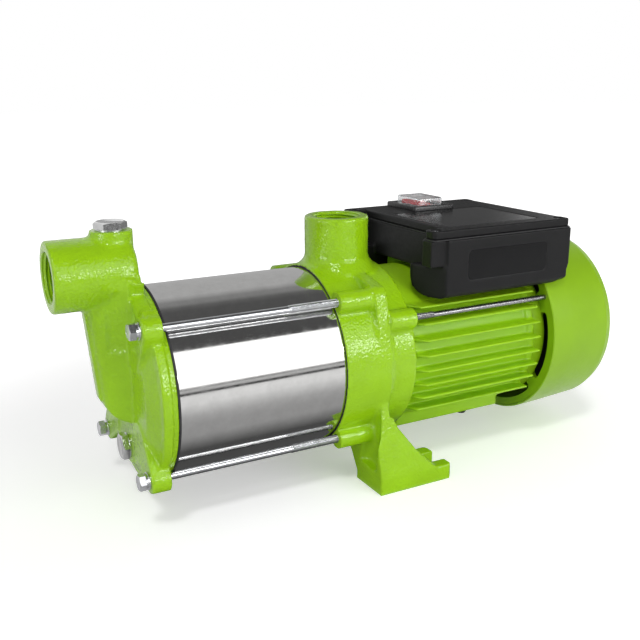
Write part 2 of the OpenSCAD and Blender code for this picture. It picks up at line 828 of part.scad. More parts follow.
// Outline of one stator slot, open to the rotor
module stator_slot_2d(trim) {
    taper_2d([rotor_r + 5, 0], 1.6 - trim, [rotor_r + 14, 0], 2.6 - trim);
    if (trim == 0) translate([rotor_r - 1, -0.8]) square([6, 1.6]);
}

module stator_core() {
    color([0.5, 0.5, 0.52]) placed() along_x(stack_x, stack_x + stack_len) difference() {
        ring_2d(frame_bore / 2 - slip, rotor_r + air_gap);
        for (k = [1:stator_slots]) rotate(k * 360 / stator_slots) stator_slot_2d(0);
    }
}

module stator_windings() {
    turn = 15;
    color([0.72, 0.4, 0.2]) placed() union() {
        for (x0 = [stack_x - turn, stack_x + stack_len + 0.3]) x_turned([
            [x0, rotor_r + 5], [x0 + 3, rotor_r + 3], [x0 + turn - 0.3, rotor_r + 3],
            [x0 + turn - 0.3, rotor_r + 17], [x0 + 4, rotor_r + 19], [x0, rotor_r + 16]]);
        along_x(stack_x - 1, stack_x + stack_len + 1) for (k = [1:stator_slots])
            rotate(k * 360 / stator_slots) stator_slot_2d(0.15);
    }
}

// One side's cooling fins, each a flat plate with a chamfered front end
module frame_fins() {
    start = bracket_end + 1;
    for (k = [0:fins - 1]) {
        z = (k - (fins - 1) / 2) * fin_pitch;
        root = sqrt(pow(frame_d / 2, 2) - z * z);
        tip = sqrt(pow(fin_d / 2, 2) - z * z);
        along_z(z - fin_t / 2, z + fin_t / 2) polygon([
            [start, root - 3], [start, root + 0.5], [start + 7.5, tip], [x_frame_end, tip],
            [x_frame_end, root - 3]]);
    }
}

module motor_frame() {
    spigot = 4;
    color(paint) placed() difference() {
        union() {
            x_rod(bracket_end, x_frame_end, frame_d / 2);
            x_rod(bracket_end - spigot + 0.2, bracket_end + 1, frame_bore / 2 + 4);
            x_rod(x_frame_end - 6, x_frame_end, frame_d / 2 + 1.5);
            for (s = [0, 1]) mirror([0, s, 0]) frame_fins();
            along_x(bracket_end + 8.5, x_frame_end - 6)
                translate([-rail_w / 2, -rail_h]) square([rail_w, 14]);
            along_x(box_x + 8, x_frame_end - 0.5)
                translate([-30, box_floor - 14]) square([60, 14]);
        }
        x_rod(bracket_end - spigot - 1, x_frame_end + 1, frame_bore / 2);
        along_x(bracket_end + 7, x_frame_end)
            translate([-9, -rail_h - 1]) square([18, 6]);
        translate([bracket_end + 75, -rail_w / 2 + 5, -rail_h - 1])
            cylinder(r = 3 + slip, h = 7);
    }
}

module rail_plug() {
    color(rubber) placed() translate([bracket_end + 75, -rail_w / 2 + 5, -rail_h]) union() {
        cylinder(r = 3, h = 5);
        translate([0, 0, -2]) cylinder(r1 = 3.6, r2 = 4.6, h = 2);
    }
}

module rear_shield() {
    x0 = rear_bearing_x;
    pocket = rear_bearing_r + slip;
    face = x_cover;
    color(paint) placed() difference() {
        x_turned([[x0 - 1, 22], [x0 - 1, pocket], [x0 + rear_bearing_w, pocket],
                  [x0 + rear_bearing_w, rear_seat_r + 1.5], [face + 1.5, rear_seat_r + 1.5],
                  [face + 1.5, 21], [face - 3, 26], [face - 3, 54], [face + annulus_t, 57],
                  [face + annulus_t, annulus_r], [face, annulus_r], [face, frame_d / 2 + 1],
                  [x_frame_end, frame_d / 2 + 1], [x_frame_end, frame_bore / 2 - slip],
                  [x_frame_end - 4, frame_bore / 2 - slip], [x_frame_end - 4, frame_bore / 2 - 4],
                  [x_frame_end + 1, 44], [x_frame_end + 1, 24]]);
        at_rods() x_rod(face - 1, face + annulus_t + 1, rod_d / 2 + 0.4);
        along_x(face - 1, face + annulus_t + 1) for (a = rod_angles) {
            arc_slot_2d(annulus_r - 6, shield_slot, a + slot_gap, a + slot_gap + slot_span);
            arc_slot_2d(annulus_r - 6, shield_slot, a + 120 - slot_gap - slot_span, a + 120 - slot_gap);
        }
    }
}

module through_bolts() {
    face = x_cover + annulus_t;
    color(steel) placed() for (a = rod_angles) rotate([a, 0, 0]) translate([0, rod_r, 0]) union() {
        x_rod(x_flange2 + 6, face, rod_d / 2);
        x_hex(face, face + rod_head_h, rod_head_af);
    }
}

module fan() {
    hub = 12;
    color(plastic) placed() difference() {
        union() {
            x_rod(fan_x, fan_x + fan_w, hub);
            x_rod(fan_x, fan_x + 2, fan_d / 2 - 6);
            for (k = [1:fan_blades]) rotate([k * 360 / fan_blades, 0, 0])
                translate([fan_x, hub - 1, -1]) cube([fan_w, fan_d / 2 - hub + 1, 2]);
        }
        x_rod(fan_x - 1, fan_x + fan_w + 1, fan_seat_r + 0.02);
    }
}

module fan_cover() {
    r = cover_d / 2;
    t = cover_t;
    end = x_cover_end;
    color(paint) placed() difference() {
        x_turned([[x_cover, r - t], [x_cover, r - 0.6], [x_cover + 0.6, r], [x_cover + 20, r - 0.5],
                  [end - 12, r - 2.5], [end - 6, r - 4.8], [end - 2, r - 8.5], [end, r - 13],
                  [end, 0], [end - t, 0], [end - t, r - 14], [end - 3.4, r - 9.7],
                  [end - 7, r - 6.4], [end - 12.4, r - 2.5 - t], [x_cover + 20, r - 0.5 - t]]);
        along_x(end - 4, end + 1) {
            for (ring = [1:4], k = [1:6])
                arc_slot_2d(5 + ring * 10, 4.4, k * 60 + 5 + 10 / ring, k * 60 + 55 - 10 / ring);
        }
    }
}

// Round inner side of a trough, up to the height given
module round_trough_2d(d, top) {
    intersection() {
        translate([trough_y, trough_z + trough_r]) circle(trough_r - d);
        translate([0, trough_z + d]) square([box_w / 2 - d, top - trough_z - d]);
    }
}

// One trough of the terminal box, on the far side, shrunk by d
module trough_2d(d) {
    edge = box_w / 2 - d;
    base = trough_z + d;
    r = trough_edge_r - min(d, 2);
    round_trough_2d(d, trough_z + trough_r - d);
    translate([trough_y, base + r]) square([edge - trough_y, box_seam - base - r + d]);
    translate([trough_y, base]) square([edge - trough_y - r, r + 1]);
    translate([edge - r, base + r]) circle(r);
    translate([trough_y - trough_r + d + 0.04, base + trough_r - 2])
        square([edge - trough_y + trough_r - d - 0.04, end_cut_z - 0.6 - d - base - trough_r + 2]);
    translate([ear_in + d, end_cut_z - 5]) square([edge - ear_in - d, box_seam - end_cut_z + 5 + d]);
}

// Side view of a trough: round lower corners
module trough_side_2d(d) {
    x0 = corner_x + d;
    x1 = corner_x2 - d;
    base = trough_z + d;
    r0 = trough_edge_r;
    r1 = trough_end_r - d;
    translate([x0, base + r1]) square([x1 - x0, box_seam - base]);
    translate([x0 + r0, base]) square([x1 - x0 - r0 - r1, r1 + 1]);
    translate([x0, base + r0]) square([r1, r1]);
    translate([x0 + r0, base + r0]) circle(r0);
    translate([x1 - r1, base + r1]) circle(r1);
}

// Solid outline of the base, shrunk by d
module box_body(d) {
    w = box_w / 2 - d;
    along_x(box_x + d, box_x2 - d)
        translate([-w, box_floor + d]) square([2 * w, box_seam - box_floor]);
    for (s = [0, 1]) mirror([0, s, 0]) {
        along_x(box_x + d, box_x2 - d) round_trough_2d(d, box_floor + d + 1);
        intersection() {
            along_x(corner_x + d, corner_x2 - d) trough_2d(d);
            along_y(0, box_w) trough_side_2d(d);
        }
    }
}

// What the base leaves free: the fan cover, and the oblique ends of its troughs
module box_cut(d) {
    x_rod(x_cover - cover_clear - d, corner_x2 + 1, cover_d / 2 + cover_clear + d);
    for (s = [0, 1]) mirror([0, s, 0]) along_z(0, end_cut_z + d)
        translate([oblique[0], oblique[1]]) rotate(oblique[2]) translate([-40, -d]) square([90, 40]);
    for (s = [0, 1]) mirror([0, s, 0]) along_z(end_cut_z - 0.3 - d, box_seam + 1)
        translate([corner_x - 1, box_w / 2 - ear_set - d]) square([ear_len + 1 + d, 20]);
}

// Plan of the lid and of the seal, set in by d
module box_plan_2d(d) {
    w = box_w / 2 - d;
    translate([box_x + d, -w]) square([box_len - 2 * d, 2 * w]);
    for (s = [0, 1]) mirror([0, s]) {
        translate([corner_x + d + 3, ear_in + d]) square([box_corner_len - 2 * d - 6, w - ear_in - d]);
        translate([corner_x + d, ear_in + d + 3])
            square([box_corner_len - 2 * d, w - ear_in - d - 6]);
        for (x = [corner_x + d + 3, corner_x2 - d - 3], y = [ear_in + d + 3, w - 3])
            translate([x, y]) circle(3);
    }
}

module at_lid_screws() {
    for (x = [corner_x + screw_x, corner_x2 - screw_x], s = [-1, 1])
        translate([x, s * (box_w / 2 - screw_y), 0]) children();
}

module under_seam() {
    intersection() {
        children();
        translate([corner_x - 1, -box_w, 0]) cube([box_corner_len + 2, 2 * box_w, box_seam]);
    }
}

module terminal_box() {
    color(plastic) placed() difference() {
        under_seam() union() {
            difference() {
                box_body(0);
                difference() {
                    box_body(box_wall);
                    box_cut(box_wall);
                }
            }
            intersection() {
                at_lid_screws() translate([0, 0, trough_z]) cylinder(r = post_r, h = 60);
                box_body(0);
            }
        }
        box_cut(0);
        at_lid_screws() translate([0, 0, box_seam - 14]) cylinder(r = screw_r + slip, h = 15);
        translate([0, 0, gland_z]) x_rod(box_x2 - 6, box_x2 + 1, gland_r + slip);
        along_y(-box_w / 2 - 1, -box_w / 2 + label_depth)
            translate([box_x + 53, label_z]) round_rect_2d(label, 4);
    }
}

module box_seal() {
    color(rubber) placed() along_z(box_seam, box_seam + seal_strip) difference() {
        box_plan_2d(0.2);
        box_plan_2d(box_wall + 1);
        at_lid_screws_2d();
    }
}

module at_lid_screws_2d() {
    for (x = [corner_x + screw_x, corner_x2 - screw_x], s = [-1, 1])
        translate([x, s * (box_w / 2 - screw_y)]) circle(screw_r + 0.2);
}

module box_lid() {
    z0 = box_seam + seal_strip;
    color(plastic) placed() difference() {
        along_z(z0, box_top) box_plan_2d(lid_step);
        difference() {
            along_z(z0 - 1, box_top - lid_t) box_plan_2d(lid_step + lid_t);
            at_lid_screws() translate([0, 0, z0 - 2]) cylinder(r = post_r + 0.6, h = 20);
        }
        at_lid_screws() translate([0, 0, z0 - 1]) cylinder(r = screw_r + 0.2, h = 20);
        at_lid_screws() translate([0, 0, box_top - 3]) cylinder(r = screw_head_r + 0.8, h = 4);
        translate([box_x + 7, -51, box_top - 0.8]) cube([85, 71, 2]);
        translate([switch_x - switch_hole[0] / 2 - slip, switch_y - switch_hole[1] / 2 - slip, z0])
            cube([switch_hole[0] + 2 * slip, switch_hole[1] + 2 * slip, 20]);
    }
}

module lid_screws() {
    seat = box_top - 3;
    color(steel) placed() at_lid_screws() difference() {
        union() {
            translate([0, 0, seat]) cylinder(r = screw_head_r, h = 2.2);
            translate([0, 0, box_seam - 10]) cylinder(r = screw_r, h = seat - box_seam + 10);
        }
        translate([-0.5, -2.2, seat + 1.2]) cube([1, 4.4, 2]);
        translate([-2.2, -0.5, seat + 1.2]) cube([4.4, 1, 2]);
    }
}

// Opening of the switch for the rocker, with room for its swing
module rocker_well() {
    translate([-rocker[0] / 2 - 0.4, -rocker[1] / 2 - 1, -rocker_drop - 3])
        cube([rocker[0] + 0.8, rocker[1] + 2, 20]);
}

module at_switch() {
    placed() translate([switch_x, switch_y, box_top]) children();
}

module switch_body() {
    depth = 15;
    color(plastic) at_switch() difference() {
        union() {
            along_z(0, bezel[2]) round_rect_2d([bezel[0], bezel[1]], 2);
            translate([-switch_hole[0] / 2, -switch_hole[1] / 2, -depth])
                cube([switch_hole[0], switch_hole[1], depth + 1]);
            for (y = [-8, 0, 8]) translate([-3, y - 0.4, -depth - 7]) cube([6, 0.8, 8]);
        }
        translate([0, 0, 1]) rocker_well();
        translate([0, 0, 1]) x_rod(-rocker[0] / 2 - 2, rocker[0] / 2 + 2, rocker_pin_r + slip);
    }
}

module switch_rocker() {
    w = rocker[1] / 2;
    color([0.8, 0.08, 0.08]) at_switch() translate([0, 0, 1]) rotate([rocker_tilt, 0, 0]) union() {
        along_x(-rocker[0] / 2, rocker[0] / 2)
            polygon([[-w + 1, -rocker_drop], [-w, rocker[2]], [0, rocker[2] - 2], [w, rocker[2]],
                     [w - 1, -rocker_drop]]);
        x_rod(-rocker[0] / 2 - 1.5, rocker[0] / 2 + 1.5, rocker_pin_r);
    }
}

module switch_cover() {
    h = bezel[2];
    color([0.85, 0.9, 0.92, 0.4]) at_switch() difference() {
        along_z(h, h + cover_box[2]) round_rect_2d([cover_box[0], cover_box[1]], 3);
        along_z(h - 1, h + cover_box[2] - cover_wall)
            round_rect_2d([cover_box[0] - 2 * cover_wall, cover_box[1] - 2 * cover_wall], 2);
    }
}

module at_capacitor() {
    placed() translate([0, -box_w / 2 + box_wall + capacitor_r + 0.4, capacitor_z]) children();
}

module capacitor() {
    x0 = capacitor_x;
    x1 = x0 + capacitor_len;
    color([0.9, 0.9, 0.92]) at_capacitor() union() {
        x_turned([[x0, 0], [x0, capacitor_r - 1], [x0 + 1, capacitor_r], [x1 - 1, capacitor_r],
                  [x1, capacitor_r - 1], [x1, 0]]);
        for (y = [-5, 5]) translate([x0 - 5, y - 0.4, -3]) cube([6, 0.8, 6]);
    }
}

module capacitor_clip() {
    x0 = capacitor_x + capacitor_len / 2 - 6;
    color(plastic) difference() {
        placed() mirror([0, 1, 0]) along_x(x0, x0 + 12) round_trough_2d(box_wall, capacitor_z - 2);
        at_capacitor() x_rod(x0 - 1, x0 + 13, capacitor_r + slip);
    }
}

module terminal_block() {
    floor = box_floor + box_wall;
    color([0.9, 0.88, 0.8]) placed() translate([box_x + 12, -14, floor]) difference() {
        cube([42, 28, 12]);
        for (x = [5:8:37]) {
            translate([x - 1, -1, 7]) cube([4, 9, 6]);
            translate([x - 1, 20, 7]) cube([4, 9, 6]);
            for (y = [4, 24]) translate([x + 1, y, 2]) cylinder(r = 1.5, h = 6);
        }
    }
}

module at_gland() {
    placed() translate([box_x2, 0, gland_z]) children();
}

module cable_gland() {
    color(rubber) at_gland() difference() {
        union() {
            x_hex(0, 3.5, gland_af);
            x_rod(-box_wall - 3, 1, gland_r);
            x_rod(3, 8, gland_r - 0.5);
        }
        x_rod(-box_wall - 4, 9, 3.8);
    }
}

module gland_nut() {
    color(rubber) at_gland() difference() {
        union() {
            x_hex(3.6, 10, gland_af - 0.6);
            x_turned([[10, 0], [10, gland_af / 2 - 0.6], [13.5, gland_r - 1], [13.5, 0]]);
        }
        x_rod(3, 8.2, gland_r - 0.5 + slip);
        x_rod(8, 15, 3.4);
    }
}

suction_casing();
priming_plug();
priming_washer();
drain_plug();
drain_washer();
sleeve();
front_seal_ring();
rear_seal_ring();
tie_bolts();
tie_washers();
tie_spring_washers();
outlet_casing();
inlet_plate();
shaft();
impeller_nut();
seal_collar();
seal_seat();
seal_ring();
seal_spring();
slinger();
front_bearing_outer();
front_bearing_inner();
front_bearing_balls();
front_bearing_cage();
rear_bearing_outer();
rear_bearing_inner();
rear_bearing_balls();
rear_bearing_cage();
rotor_core();
stator_core();
stator_windings();
motor_frame();
rail_plug();
rear_shield();
through_bolts();
fan();
fan_cover();
terminal_box();
box_seal();
box_lid();
lid_screws();
switch_body();
switch_rocker();
switch_cover();
capacitor();
capacitor_clip();
terminal_block();
cable_gland();
gland_nut();
for (i = [1:stages]) impeller(i);
for (i = [1:stages]) diffuser(i);
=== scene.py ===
import json
import math
import random

import bmesh
import bpy
import numpy as np
from mathutils import Matrix, Vector, noise


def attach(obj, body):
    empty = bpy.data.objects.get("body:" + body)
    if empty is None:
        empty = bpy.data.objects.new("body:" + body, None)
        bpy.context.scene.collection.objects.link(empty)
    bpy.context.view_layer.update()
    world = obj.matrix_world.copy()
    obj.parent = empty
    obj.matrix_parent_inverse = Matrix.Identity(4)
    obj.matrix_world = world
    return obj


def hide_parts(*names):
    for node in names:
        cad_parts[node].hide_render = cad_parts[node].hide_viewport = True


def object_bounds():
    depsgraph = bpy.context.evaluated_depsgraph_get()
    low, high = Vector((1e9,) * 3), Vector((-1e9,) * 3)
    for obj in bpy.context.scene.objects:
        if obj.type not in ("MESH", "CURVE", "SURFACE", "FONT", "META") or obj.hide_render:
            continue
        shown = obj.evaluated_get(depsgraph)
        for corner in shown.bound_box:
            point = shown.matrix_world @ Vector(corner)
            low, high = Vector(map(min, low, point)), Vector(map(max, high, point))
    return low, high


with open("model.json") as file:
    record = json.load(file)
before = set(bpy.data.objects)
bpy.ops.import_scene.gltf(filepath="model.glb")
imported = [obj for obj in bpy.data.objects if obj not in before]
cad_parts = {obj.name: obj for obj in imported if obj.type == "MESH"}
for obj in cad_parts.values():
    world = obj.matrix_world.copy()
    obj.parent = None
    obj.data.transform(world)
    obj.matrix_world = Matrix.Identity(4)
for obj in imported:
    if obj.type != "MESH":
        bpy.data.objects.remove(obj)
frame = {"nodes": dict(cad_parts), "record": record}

# Lengths are millimetres, measured as in the CAD source: x along the shaft from
# the inner face of the outlet casing, z from the shaft. MM takes them to the frame.
X_MID, AXIS_H = 34.9, 90.0
MM = Matrix.Translation((-X_MID / 1000, 0, AXIS_H / 1000)) @ Matrix.Scale(0.001, 4)
CAD_NODES = frame["nodes"]
CAD_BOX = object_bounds()
SCENE = bpy.context.scene
TAU = 2 * math.pi
rng = random.Random(7)

LUG_ANGLES, LUG_R = (45, 135, 225, 315), 70.8      # tie bolts round the stages
ROD_ANGLES, ROD_R = (30, 150, 270), 67.6           # through bolts round the motor
INLET_Z, OUTLET_X = 77.8, 28.0                     # axes of the two ports
X_STAGES = -120.95                                 # back of the suction flange


# ---------------------------------------------------------------- mesh helpers
def bridge(a, b):
    """Faces between two rings of vertex numbers; a ring of one is a pole."""
    n = max(len(a), len(b))
    out = []
    for k in range(n):
        m = (k + 1) % n
        if len(a) == 1:
            out.append((a[0], b[m], b[k]))
        elif len(b) == 1:
            out.append((a[k], a[m], b[0]))
        else:
            out.append((a[k], a[m], b[m], b[k]))
    return out


def loft(rings, caps=(False, False), loop=False):
    """Skin over rings of points; a ring of one point closes the skin."""
    verts, numbers, faces = [], [], []
    for ring in rings:
        numbers.append(list(range(len(verts), len(verts) + len(ring))))
        verts += [tuple(p) for p in ring]
    for a, b in zip(numbers, numbers[1:] + ([numbers[0]] if loop else [])):
        faces += bridge(a, b)
    if caps[0]:
        faces.append(tuple(reversed(numbers[0])))
    if caps[1]:
        faces.append(tuple(numbers[-1]))
    return verts, faces


def ring_at(r, z, n, turn=0.0):
    if r < 1e-6:
        return [(0.0, 0.0, z)]
    return [(r * math.cos(turn + TAU * k / n), r * math.sin(turn + TAU * k / n), z)
            for k in range(n)]


def lathe(profile, n=64, loop=False):
    """Turned shape about Z from points of (z, radius)."""
    return loft([ring_at(r, z, n) for z, r in profile], loop=loop)


def hex_head(af, h):
    """Hexagon head from z = 0 to h, its top corners cut by a 30 degree cone."""
    count, top_r, dish, slope = 72, af * 0.475, 0.12, 0.577

    def hex_r(k):
        t = (TAU * k / count) % (TAU / 6) - TAU / 12
        return af / 2 / math.cos(t)

    def ring(radius, height):
        out = []
        for k in range(count):
            a, r = TAU * k / count, radius(k)
            out.append((r * math.cos(a), r * math.sin(a), height(r)))
        return out

    return loft([[(0.0, 0.0, 0.0)],
                 ring(hex_r, lambda r: 0.0),
                 ring(hex_r, lambda r: h - (r - top_r) * slope),
                 ring(lambda k: top_r, lambda r: h),
                 ring(lambda k: top_r * 0.93, lambda r: h),
                 ring(lambda k: top_r * 0.9, lambda r: h - dish),
                 [(0.0, 0.0, h - dish)]])


def thread_rings(r, pitch, z0, z1, depth, n=28, per=6):
    """Rings of a helical thread that fades at both ends."""
    rows = max(2, int(round((z1 - z0) / pitch * per)))
    rings = []
    for j in range(rows + 1):
        z = z0 + (z1 - z0) * j / rows
        fade = min(1.0, (j + 0.3) / per, (rows - j + 0.3) / per)
        ring = []
        for k in range(n):
            phase = (z / pitch - k / n) % 1.0
            cut = min(1.0, max(0.0, abs(phase - 0.5) * 2 * 1.25 - 0.12))
            rr = r - depth * (1 - cut) * fade
            a = TAU * k / n
            ring.append((rr * math.cos(a), rr * math.sin(a), z))
        rings.append(ring)
    return rings


def turned(profile, n):
    """Turned shape about the shaft from points of (x, radius)."""
    return loft([[(x, r * math.cos(TAU * k / n), r * math.sin(TAU * k / n)) for k in range(n)]
                 for x, r in profile], loop=True)


def washer(inner, outer, t, n=56):
    c = min(0.15, t / 4)
    return lathe([(0, inner), (0, outer - c), (c, outer), (t - c, outer), (t, outer - c),
                  (t, inner)], n, loop=True)


def spring_washer(inner, outer, t, n=60, gap=0.14, rise=0.3):
    rings = []
    for k in range(n + 1):
        a = gap / 2 + (TAU - gap) * k / n
        lift = rise * k / n
        ca, sa = math.cos(a), math.sin(a)
        section = ((inner, 0.0), (outer, 0.0), (outer, t - rise), (inner, t - rise))
        rings.append([(r * ca, r * sa, z + lift * (1 if z else 0.0)) for r, z in section])
    return loft(rings, caps=(True, True))


def pan_screw(r, h, arm=1.9, wide=0.42, deep=1.1, n=72, rows=18):
    """Pan head on z = 0 with a cross recess sunk into it."""
    rings = [[(0.0, 0.0, 0.0)], ring_at(r * 0.94, 0.0, n), ring_at(r, 0.25, n)]
    steps = [r * (1 - (j / rows)) for j in range(rows)]
    for rr in steps:
        ring = []
        for k in range(n):
            a = TAU * k / n
            x, y = rr * math.cos(a), rr * math.sin(a)
            z = 0.25 + (h - 0.25) * math.sqrt(max(0.0, 1 - (rr / r) ** 3.2))
            for u, v in ((x, y), (y, x)):
                edge = min((arm - abs(u)) / 0.25, (wide - abs(v)) / 0.12)
                if edge > 0:
                    z = min(z, h - deep * min(1.0, edge) * (1.1 - 0.5 * abs(u) / arm))
            ring.append((x, y, z))
        rings.append(ring)
    rings.append([(0.0, 0.0, h - deep * 1.1)])
    return loft(rings)


def round_rect(w, l, r, z, n=8, cx=0.0, cy=0.0):
    """Ring of points of a rectangle with round corners."""
    r = max(r, 0.01)
    out = []
    for sx, sy, a0 in ((1, 1, 0), (-1, 1, 90), (-1, -1, 180), (1, -1, 270)):
        for k in range(n + 1):
            a = math.radians(a0 + 90 * k / n)
            out.append((cx + sx * (w / 2 - r) + r * math.cos(a),
                        cy + sy * (l / 2 - r) + r * math.sin(a), z))
    return out


def aim(pos, direction, spin=0.0):
    """Placement whose local Z points along direction."""
    q = Vector(direction).normalized().to_track_quat("Z", "Y")
    return Matrix.Translation(pos) @ q.to_matrix().to_4x4() @ Matrix.Rotation(spin, 4, "Z")


def piece(name, parts, material, body="pump", replaces=(), sharp=35):
    """One object from (verts, faces) or (verts, faces, placement) in millimetres."""
    bm = bmesh.new()
    for part in parts:
        verts, faces = part[0], part[1]
        place = MM @ part[2] if len(part) > 2 else MM
        made = [bm.verts.new(place @ Vector(v)) for v in verts]
        for f in faces:
            try:
                bm.faces.new([made[i] for i in f])
            except ValueError:
                pass
    bmesh.ops.recalc_face_normals(bm, faces=bm.faces)
    mesh = bpy.data.meshes.new(name)
    bm.to_mesh(mesh)
    bm.free()
    obj = bpy.data.objects.new(name, mesh)
    SCENE.collection.objects.link(obj)
    dress(obj, material, body, replaces, sharp)
    return obj


def dress(obj, material, body, replaces, sharp):
    mesh = obj.data
    mesh.materials.clear()
    mesh.materials.append(material)
    mesh.polygons.foreach_set("use_smooth", [True] * len(mesh.polygons))
    if sharp:
        mesh.set_sharp_from_angle(angle=math.radians(sharp))
    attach(obj, body)
    if replaces:
        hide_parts(*replaces)


def baked(obj):
    """Applies an object's modifiers to its mesh."""
    graph = bpy.context.evaluated_depsgraph_get()
    mesh = bpy.data.meshes.new_from_object(obj.evaluated_get(graph))
    obj.modifiers.clear()
    obj.data = mesh
    return obj


def cad_copy(node, name):
    """Welded copy of a CAD node's mesh."""
    mesh = CAD_NODES[node].data.copy()
    bm = bmesh.new()
    bm.from_mesh(mesh)
    bmesh.ops.remove_doubles(bm, verts=bm.verts, dist=2e-6)
    for layer in list(bm.loops.layers.uv):
        bm.loops.layers.uv.remove(layer)
    bm.to_mesh(mesh)
    bm.free()
    if mesh.attributes.get("custom_normal"):
        mesh.attributes.remove(mesh.attributes["custom_normal"])
    obj = bpy.data.objects.new(name, mesh)
    SCENE.collection.objects.link(obj)
    return obj


def remeshed(obj, size):
    """Turns an object's mesh into an even one of a size in millimetres."""
    mod = obj.modifiers.new("voxel", "REMESH")
    mod.mode = "VOXEL"
    mod.voxel_size = size / 1000
    return baked(obj)


def coords(mesh):
    co = np.empty(len(mesh.vertices) * 3)
    mesh.vertices.foreach_get("co", co)
    return co.reshape(-1, 3)


def normals(mesh):
    mesh.update()
    out = np.empty(len(mesh.vertices) * 3)
    mesh.vertices.foreach_get("normal", out)
    return out.reshape(-1, 3)


def measured(co):
    """Frame metres to the measured millimetres."""
    return co * 1000 + np.array([X_MID, 0.0, -AXIS_H])


def soften(obj, size, convex=4, concave=26, hold=None):
    """Rounds outer edges a little and fills inner corners, as a casting does."""
    mesh = obj.data
    edges = np.empty(len(mesh.edges) * 2, dtype=np.int64)
    mesh.edges.foreach_get("vertices", edges)
    a, b = edges[0::2], edges[1::2]
    co = coords(mesh)
    count = np.zeros(len(co))
    np.add.at(count, a, 1)
    np.add.at(count, b, 1)
    free = np.ones(len(co)) if hold is None else 1.0 - hold(measured(co))
    for step in range(concave):
        mean = np.zeros_like(co)
        for axis in range(3):
            mean[:, axis] = (np.bincount(a, co[b, axis], len(co))
                             + np.bincount(b, co[a, axis], len(co)))
        mean /= count[:, None]
        if step % 4 == 0:
            mesh.vertices.foreach_set("co", co.ravel())
            nor = normals(mesh)
        lap = mean - co
        bend = (lap * nor).sum(1) / (size / 1000)
        outer = 0.5 if step < convex else 0.0
        weight = np.where(bend > 0.012, 0.55, outer)
        weight = np.where((bend <= 0.012) & (bend > -0.012), 0.5 if step < convex + 4 else 0.12,
                          weight)
        co = co + lap * (weight * free)[:, None]
    mesh.vertices.foreach_set("co", co.ravel())
    mesh.update()


def roughen(obj, hold=None, waves=((7.0, 0.1), (2.6, 0.07))):
    """Moves the skin along its normals by smooth noise, as sand casting leaves it."""
    mesh = obj.data
    co, nor = coords(mesh), normals(mesh)
    free = np.ones(len(co)) if hold is None else 1.0 - hold(measured(co))
    shift = np.zeros(len(co))
    for k, (wave, height) in enumerate(waves):
        pts = co * (1000 / wave) + 13.7 * k
        shift += height / 1000 * np.array([noise.noise(Vector(p)) for p in pts])
    co = np.clip(co + nor * (shift * free)[:, None], np.array(CAD_BOX[0]), np.array(CAD_BOX[1]))
    mesh.vertices.foreach_set("co", co.ravel())
    mesh.update()


# ---------------------------------------------------------------- materials
class Mat:
    """A principled material with shorthand for its procedural detail."""

    def __init__(self, name, **sockets):
        self.mat = bpy.data.materials.new(name)
        self.mat.use_nodes = True
        self.tree = self.mat.node_tree
        self.shader = self.tree.nodes["Principled BSDF"]
        self.coord = self.tree.nodes.new("ShaderNodeTexCoord").outputs["Object"]
        for key, value in sockets.items():
            self.shader.inputs[key.replace("_", " ")].default_value = value

    def noise(self, size, detail=2.0, rough=0.5, stretch=(1, 1, 1)):
        """Noise of a feature size in millimetres."""
        mapping = self.tree.nodes.new("ShaderNodeMapping")
        mapping.inputs["Scale"].default_value = stretch
        self.tree.links.new(self.coord, mapping.inputs["Vector"])
        node = self.tree.nodes.new("ShaderNodeTexNoise")
        node.inputs["Scale"].default_value = 1000 / size
        node.inputs["Detail"].default_value = detail
        node.inputs["Roughness"].default_value = rough
        self.tree.links.new(mapping.outputs[0], node.inputs["Vector"])
        return node.outputs["Fac"]

    def spread(self, fac, low, high, lo=0.3, hi=0.7):
        """Noise between lo and hi taken to a range from low to high."""
        node = self.tree.nodes.new("ShaderNodeMapRange")
        for key, value in (("From Min", lo), ("From Max", hi), ("To Min", low), ("To Max", high)):
            node.inputs[key].default_value = value
        self.tree.links.new(fac, node.inputs["Value"])
        return node.outputs["Result"]

    def colours(self, fac, stops):
        """Base colour from stops of (position, colour) along fac."""
        node = self.tree.nodes.new("ShaderNodeValToRGB")
        ramp = node.color_ramp
        while len(ramp.elements) < len(stops):
            ramp.elements.new(0.5)
        for element, (at, colour) in zip(ramp.elements, stops):
            element.position = at
            element.color = (*colour, 1)
        self.tree.links.new(fac, node.inputs["Fac"])
        self.tree.links.new(node.outputs["Color"], self.shader.inputs["Base Color"])

    def rough(self, fac, low, high):
        self.tree.links.new(self.spread(fac, low, high), self.shader.inputs["Roughness"])

    def bumps(self, *layers):
        """Stacked bumps of (height, depth in millimetres, strength)."""
        last = None
        for height, depth, strength in layers:
            node = self.tree.nodes.new("ShaderNodeBump")
            node.inputs["Distance"].default_value = depth / 1000
            node.inputs["Strength"].default_value = strength
            self.tree.links.new(height, node.inputs["Height"])
            if last:
                self.tree.links.new(last, node.inputs["Normal"])
            last = node.outputs["Normal"]
        self.tree.links.new(last, self.shader.inputs["Normal"])


def shade(colour, k):
    return tuple(c * k for c in colour)


GREEN = (0.295, 0.55, 0.006)

m = Mat("casting_paint", Metallic=0.0, Specular_IOR_Level=0.5)
m.colours(m.noise(22, 3), [(0.3, shade(GREEN, 0.93)), (0.7, shade(GREEN, 1.04))])
m.rough(m.noise(4, 2), 0.1, 0.16)
m.bumps((m.noise(1.8, 0.6, 0.4), 0.34, 1.0), (m.noise(0.6, 1.0), 0.03, 0.6))
CASTING = m.mat


